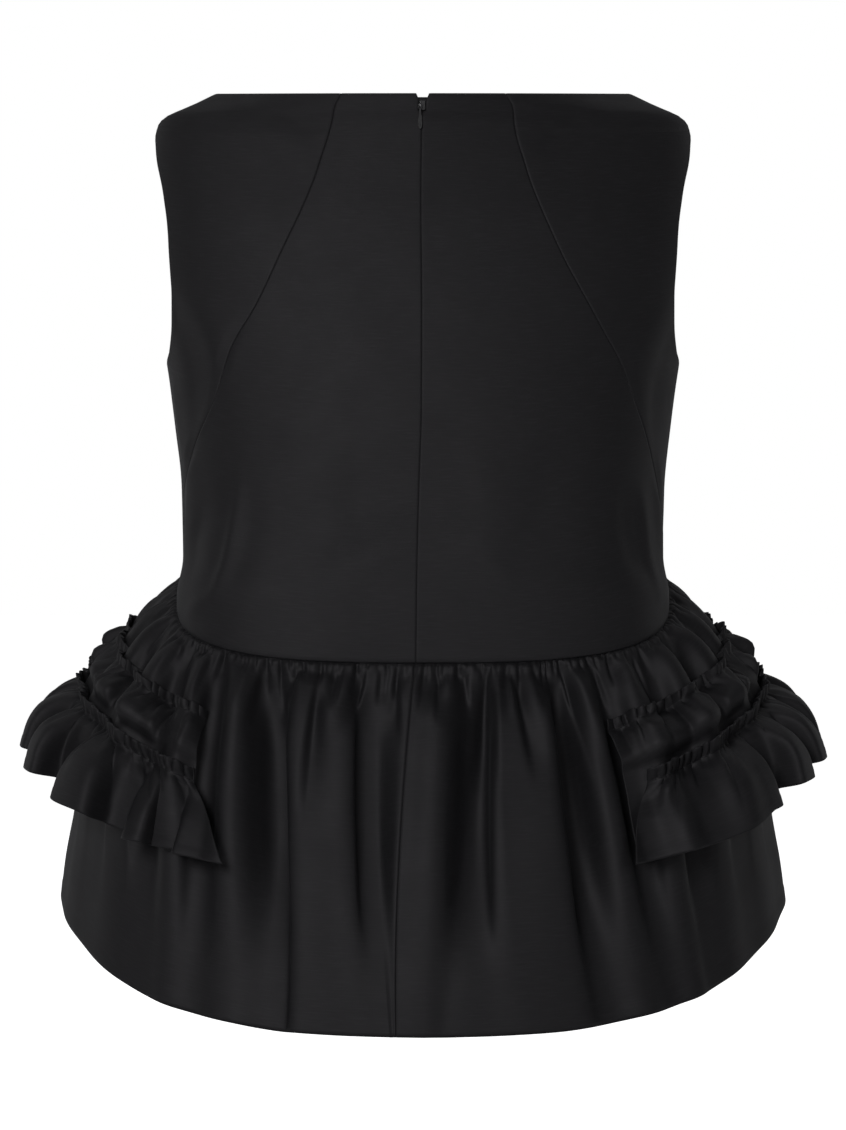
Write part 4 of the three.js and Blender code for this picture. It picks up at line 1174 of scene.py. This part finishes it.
class TOP_OT_bodice(bpy.types.Operator):
    """Makes the five panels of the bodice"""
    bl_idname = "peplum_top.bodice"
    bl_label = "Bodice"

    def execute(self, context):
        soft = context.scene.peplum_top_soft
        panels = {
            "back_left": centre_back_panel(-1, SEAM_LEFT, LEFT_TIP_ROW, soft),
            "back_right": centre_back_panel(1, SEAM_RIGHT, RIGHT_TIP_ROW, soft),
            "side_back_left": side_back_panel(-1, SEAM_LEFT, LEFT_TIP_ROW, soft),
            "side_back_right": side_back_panel(1, SEAM_RIGHT, RIGHT_TIP_ROW, soft),
            "front": front_panel(soft),
        }
        rows = share_rows(0.985)[4:]
        deep = soft.thickness / MM + ALLOWANCE_DEPTH
        seams = {
            "back_left": seam_angle(SEAM_LEFT, rows[rows < LEFT_TIP_ROW]),
            "back_right": seam_angle(SEAM_RIGHT, rows[rows < RIGHT_TIP_ROW]),
        }
        for name, (outer, inner) in panels.items():
            piece = cloth_shell(name + "_cloth", outer, inner, shell_cloth(soft))
            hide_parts(name)
            strips = {}
            if name in seams:
                line = seams[name]
                strips[name + "_seam_allowance"] = bodice_strip(
                    line, rows[: len(line)], ALLOWANCE_HALF, deep, ALLOWANCE_THICKNESS)
            if name == "front":
                low = rows[rows > UNDERARM_ROW]
                for side in (90, 270):
                    strips[f"side_seam_allowance_{side}"] = bodice_strip(
                        np.full_like(low, side), low, ALLOWANCE_HALF, deep, ALLOWANCE_THICKNESS)
                strips["waist_seam_allowance"] = waist_strip(deep + 0.7, 0.6)
            inside = [worn(cloth_shell(label, *made, shell_cloth(soft))) for label, made in strips.items()]
            hangs_from = ["zip_tape_cloth"] if name.startswith("back") else ["back_left_cloth"]
            sheet(piece, CUTS[name], "hung", hangs_from, with_pieces=inside)
        return {"FINISHED"}


class TOP_OT_peplum(bpy.types.Operator):
    """Makes the three gathered pieces of the peplum"""
    bl_idname = "peplum_top.peplum"
    bl_label = "Peplum"

    def execute(self, context):
        soft = context.scene.peplum_top_soft
        spans = {
            "peplum_back_left": (0, CENTRE_BACK_FOLD, 290, 100),
            "peplum_back_right": (CENTRE_BACK_FOLD, RIGHT_SIDE_FOLD, 290, 100),
            "peplum_front": (RIGHT_SIDE_FOLD, LEFT_SIDE_FOLD, 350, 76),
        }
        for name, (first, last, columns, rows) in spans.items():
            outer, inner = peplum_piece(first, last, columns, rows, soft)
            piece = cloth_shell(name + "_cloth", outer, inner, shell_cloth(soft))
            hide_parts(name)
            made = peplum_strip(float(last), soft, soft.thickness / MM + ALLOWANCE_DEPTH, ALLOWANCE_THICKNESS)
            allowance = worn(cloth_shell(name + "_seam_allowance", *made, shell_cloth(soft)))
            hangs_from = ["front_cloth" if name == "peplum_front" else "back_left_cloth"]
            sheet(piece, CUTS[name], "gathered", hangs_from, with_pieces=[allowance])
        return {"FINISHED"}


class TOP_OT_ruffles(bpy.types.Operator):
    """Makes the two ruffles of each side"""
    bl_idname = "peplum_top.ruffles"
    bl_label = "Ruffles"

    def execute(self, context):
        soft = context.scene.peplum_top_soft
        for part in RUFFLE_ENDS:
            outer, inner, normal = ruffle_piece(part, soft)
            piece = cloth_shell(f"ruffle_{part}_cloth", outer, inner, shell_cloth(soft))
            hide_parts("ruffle_" + part)
            sewn = worn(stitches(f"ruffle_{part}_stitches", outer[STITCHED_STEP], normal, shell_cloth(soft)))
            sheet(piece, CUTS["ruffle_" + part], "gathered", ["peplum_front_cloth"], with_pieces=[sewn])
        return {"FINISHED"}


class TOP_OT_zip(bpy.types.Operator):
    """Makes the zip's tape and coil, and finishes its slider and pull"""
    bl_idname = "peplum_top.zip"
    bl_label = "Zip"

    def execute(self, context):
        weave = kept("ribbed weave", weave_group)
        tape_cloth = cloth_material("zip tape", weave, (0.009, 0.009, 0.0095), (0.55, 0.7), rib=2.0, slub=0.2)
        rows = np.linspace(*TAPE_ROWS, 160)
        made = bodice_strip(centre_angle(rows), rows, TAPE_HALF, TAPE_DEPTH, TAPE_THICKNESS, 13)
        tape = worn(cloth_shell("zip_tape_cloth", *made, tape_cloth))
        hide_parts("zip_tape")
        coils = [worn(zip_coil(side, tape_cloth)) for side in (-1, 1)]
        enamel = metal_material("dark plated metal", (0.33, 0.33, 0.34))
        for name in ("zip_slider", "zip_pull"):
            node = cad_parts[name]
            node.data.materials.clear()
            node.data.materials.append(enamel)
        return {"FINISHED"}


class TOP_OT_stage(bpy.types.Operator):
    """Makes the floor, the lights, the surroundings and the camera"""
    bl_idname = "peplum_top.stage"
    bl_label = "Stage"

    def execute(self, context):
        stage = context.scene.peplum_top_stage
        scene = context.scene
        white = (1, 1, 1, 1)
        material, tree, shader = new_material("pale floor", {"Roughness": 0.9, "Base Color": (*stage.floor, 1)})
        seen = add_node(tree, "ShaderNodeLightPath")
        feed(tree, shader, {"Emission Color": white, "Emission Strength": seen.outputs["Is Camera Ray"]})
        corners = np.array([[-1, -1], [1, -1], [1, 1], [-1, 1]]) * FLOOR_HALF
        corners = np.column_stack([corners, np.full(4, FLOOR_HEIGHT)])
        make_mesh("floor", corners, np.array([[0, 1, 2, 3]]), material, smooth=False)
        world = scene.world or bpy.data.worlds.new("soft surroundings")
        scene.world = world
        world.use_nodes = True
        tree = world.node_tree
        tree.nodes.clear()
        path = add_node(tree, "ShaderNodeLightPath")
        lit = add_node(tree, "ShaderNodeBackground", {"Color": white, "Strength": 0.04})
        seen = add_node(tree, "ShaderNodeBackground", {"Color": white})
        blend = add_node(tree, "ShaderNodeMixShader", {
            "Fac": path.outputs["Is Camera Ray"], 1: lit.outputs["Background"], 2: seen.outputs["Background"],
        })
        add_node(tree, "ShaderNodeOutputWorld", {"Surface": blend.outputs["Shader"]})
        lamps = {
            "front softbox": ((-1.3, -3.2, 0.8), (1.5, 1.3), 40),
            "left softbox": ((-2.2, 1.2, 0.2), (0.9, 2.2), 6),
            "right softbox": ((2.2, 1.2, 0.2), (0.9, 2.2), 5),
            "side softbox": ((2.3, -2.6, 0.4), (0.9, 1.6), 5),
            "far softbox": ((0, 3.4, 0.1), (3.0, 2.2), 9),
            "top softbox": ((0, 0.7, 2.2), (2.4, 1.0), 10),
        }
        for name, (place, size, power) in lamps.items():
            data = bpy.data.lights.new(name, "AREA")
            data.shape = "RECTANGLE"
            data.size, data.size_y = size
            data.energy = power * stage.light
            lamp = bpy.data.objects.new(name, data)
            scene.collection.objects.link(lamp)
            lamp.location = place
            towards = Vector((0, 0, -0.35)) - Vector(place)
            lamp.rotation_euler = towards.to_track_quat("-Z", "Y").to_euler()
        data = bpy.data.cameras.new("camera")
        camera = bpy.data.objects.new("camera", data)
        scene.collection.objects.link(camera)
        camera.location = (0, -stage.distance, stage.height)
        camera.rotation_euler = (np.pi / 2, 0, 0)
        data.sensor_width = 36
        data.lens = data.sensor_width * stage.distance / stage.view
        scene.camera = camera
        scene.view_settings.view_transform = "Standard"
        return {"FINISHED"}


class TOP_PT_panel(bpy.types.Panel):
    bl_idname = "TOP_PT_panel"
    bl_label = "Peplum Top"
    bl_space_type = "VIEW_3D"
    bl_region_type = "UI"
    bl_category = "Peplum Top"

    def draw(self, context):
        for settings in (context.scene.peplum_top_soft, context.scene.peplum_top_stage):
            for name in settings.__annotations__:
                self.layout.prop(settings, name)
        for operator in OPERATORS:
            self.layout.operator(operator.bl_idname)


OPERATORS = (TOP_OT_bodice, TOP_OT_peplum, TOP_OT_ruffles, TOP_OT_zip, TOP_OT_stage)
CLASSES = (SoftSettings, StageSettings, *OPERATORS, TOP_PT_panel)


def register():
    for made in CLASSES:
        bpy.utils.register_class(made)
    bpy.types.Scene.peplum_top_soft = PointerProperty(type=SoftSettings)
    bpy.types.Scene.peplum_top_stage = PointerProperty(type=StageSettings)


def unregister():
    del bpy.types.Scene.peplum_top_stage
    del bpy.types.Scene.peplum_top_soft
    for made in reversed(CLASSES):
        bpy.utils.unregister_class(made)


def main():
    register()
    bpy.ops.peplum_top.zip()
    bpy.ops.peplum_top.bodice()
    bpy.ops.peplum_top.peplum()
    bpy.ops.peplum_top.ruffles()
    bpy.ops.peplum_top.stage()


if __name__ == "__main__":
    main()
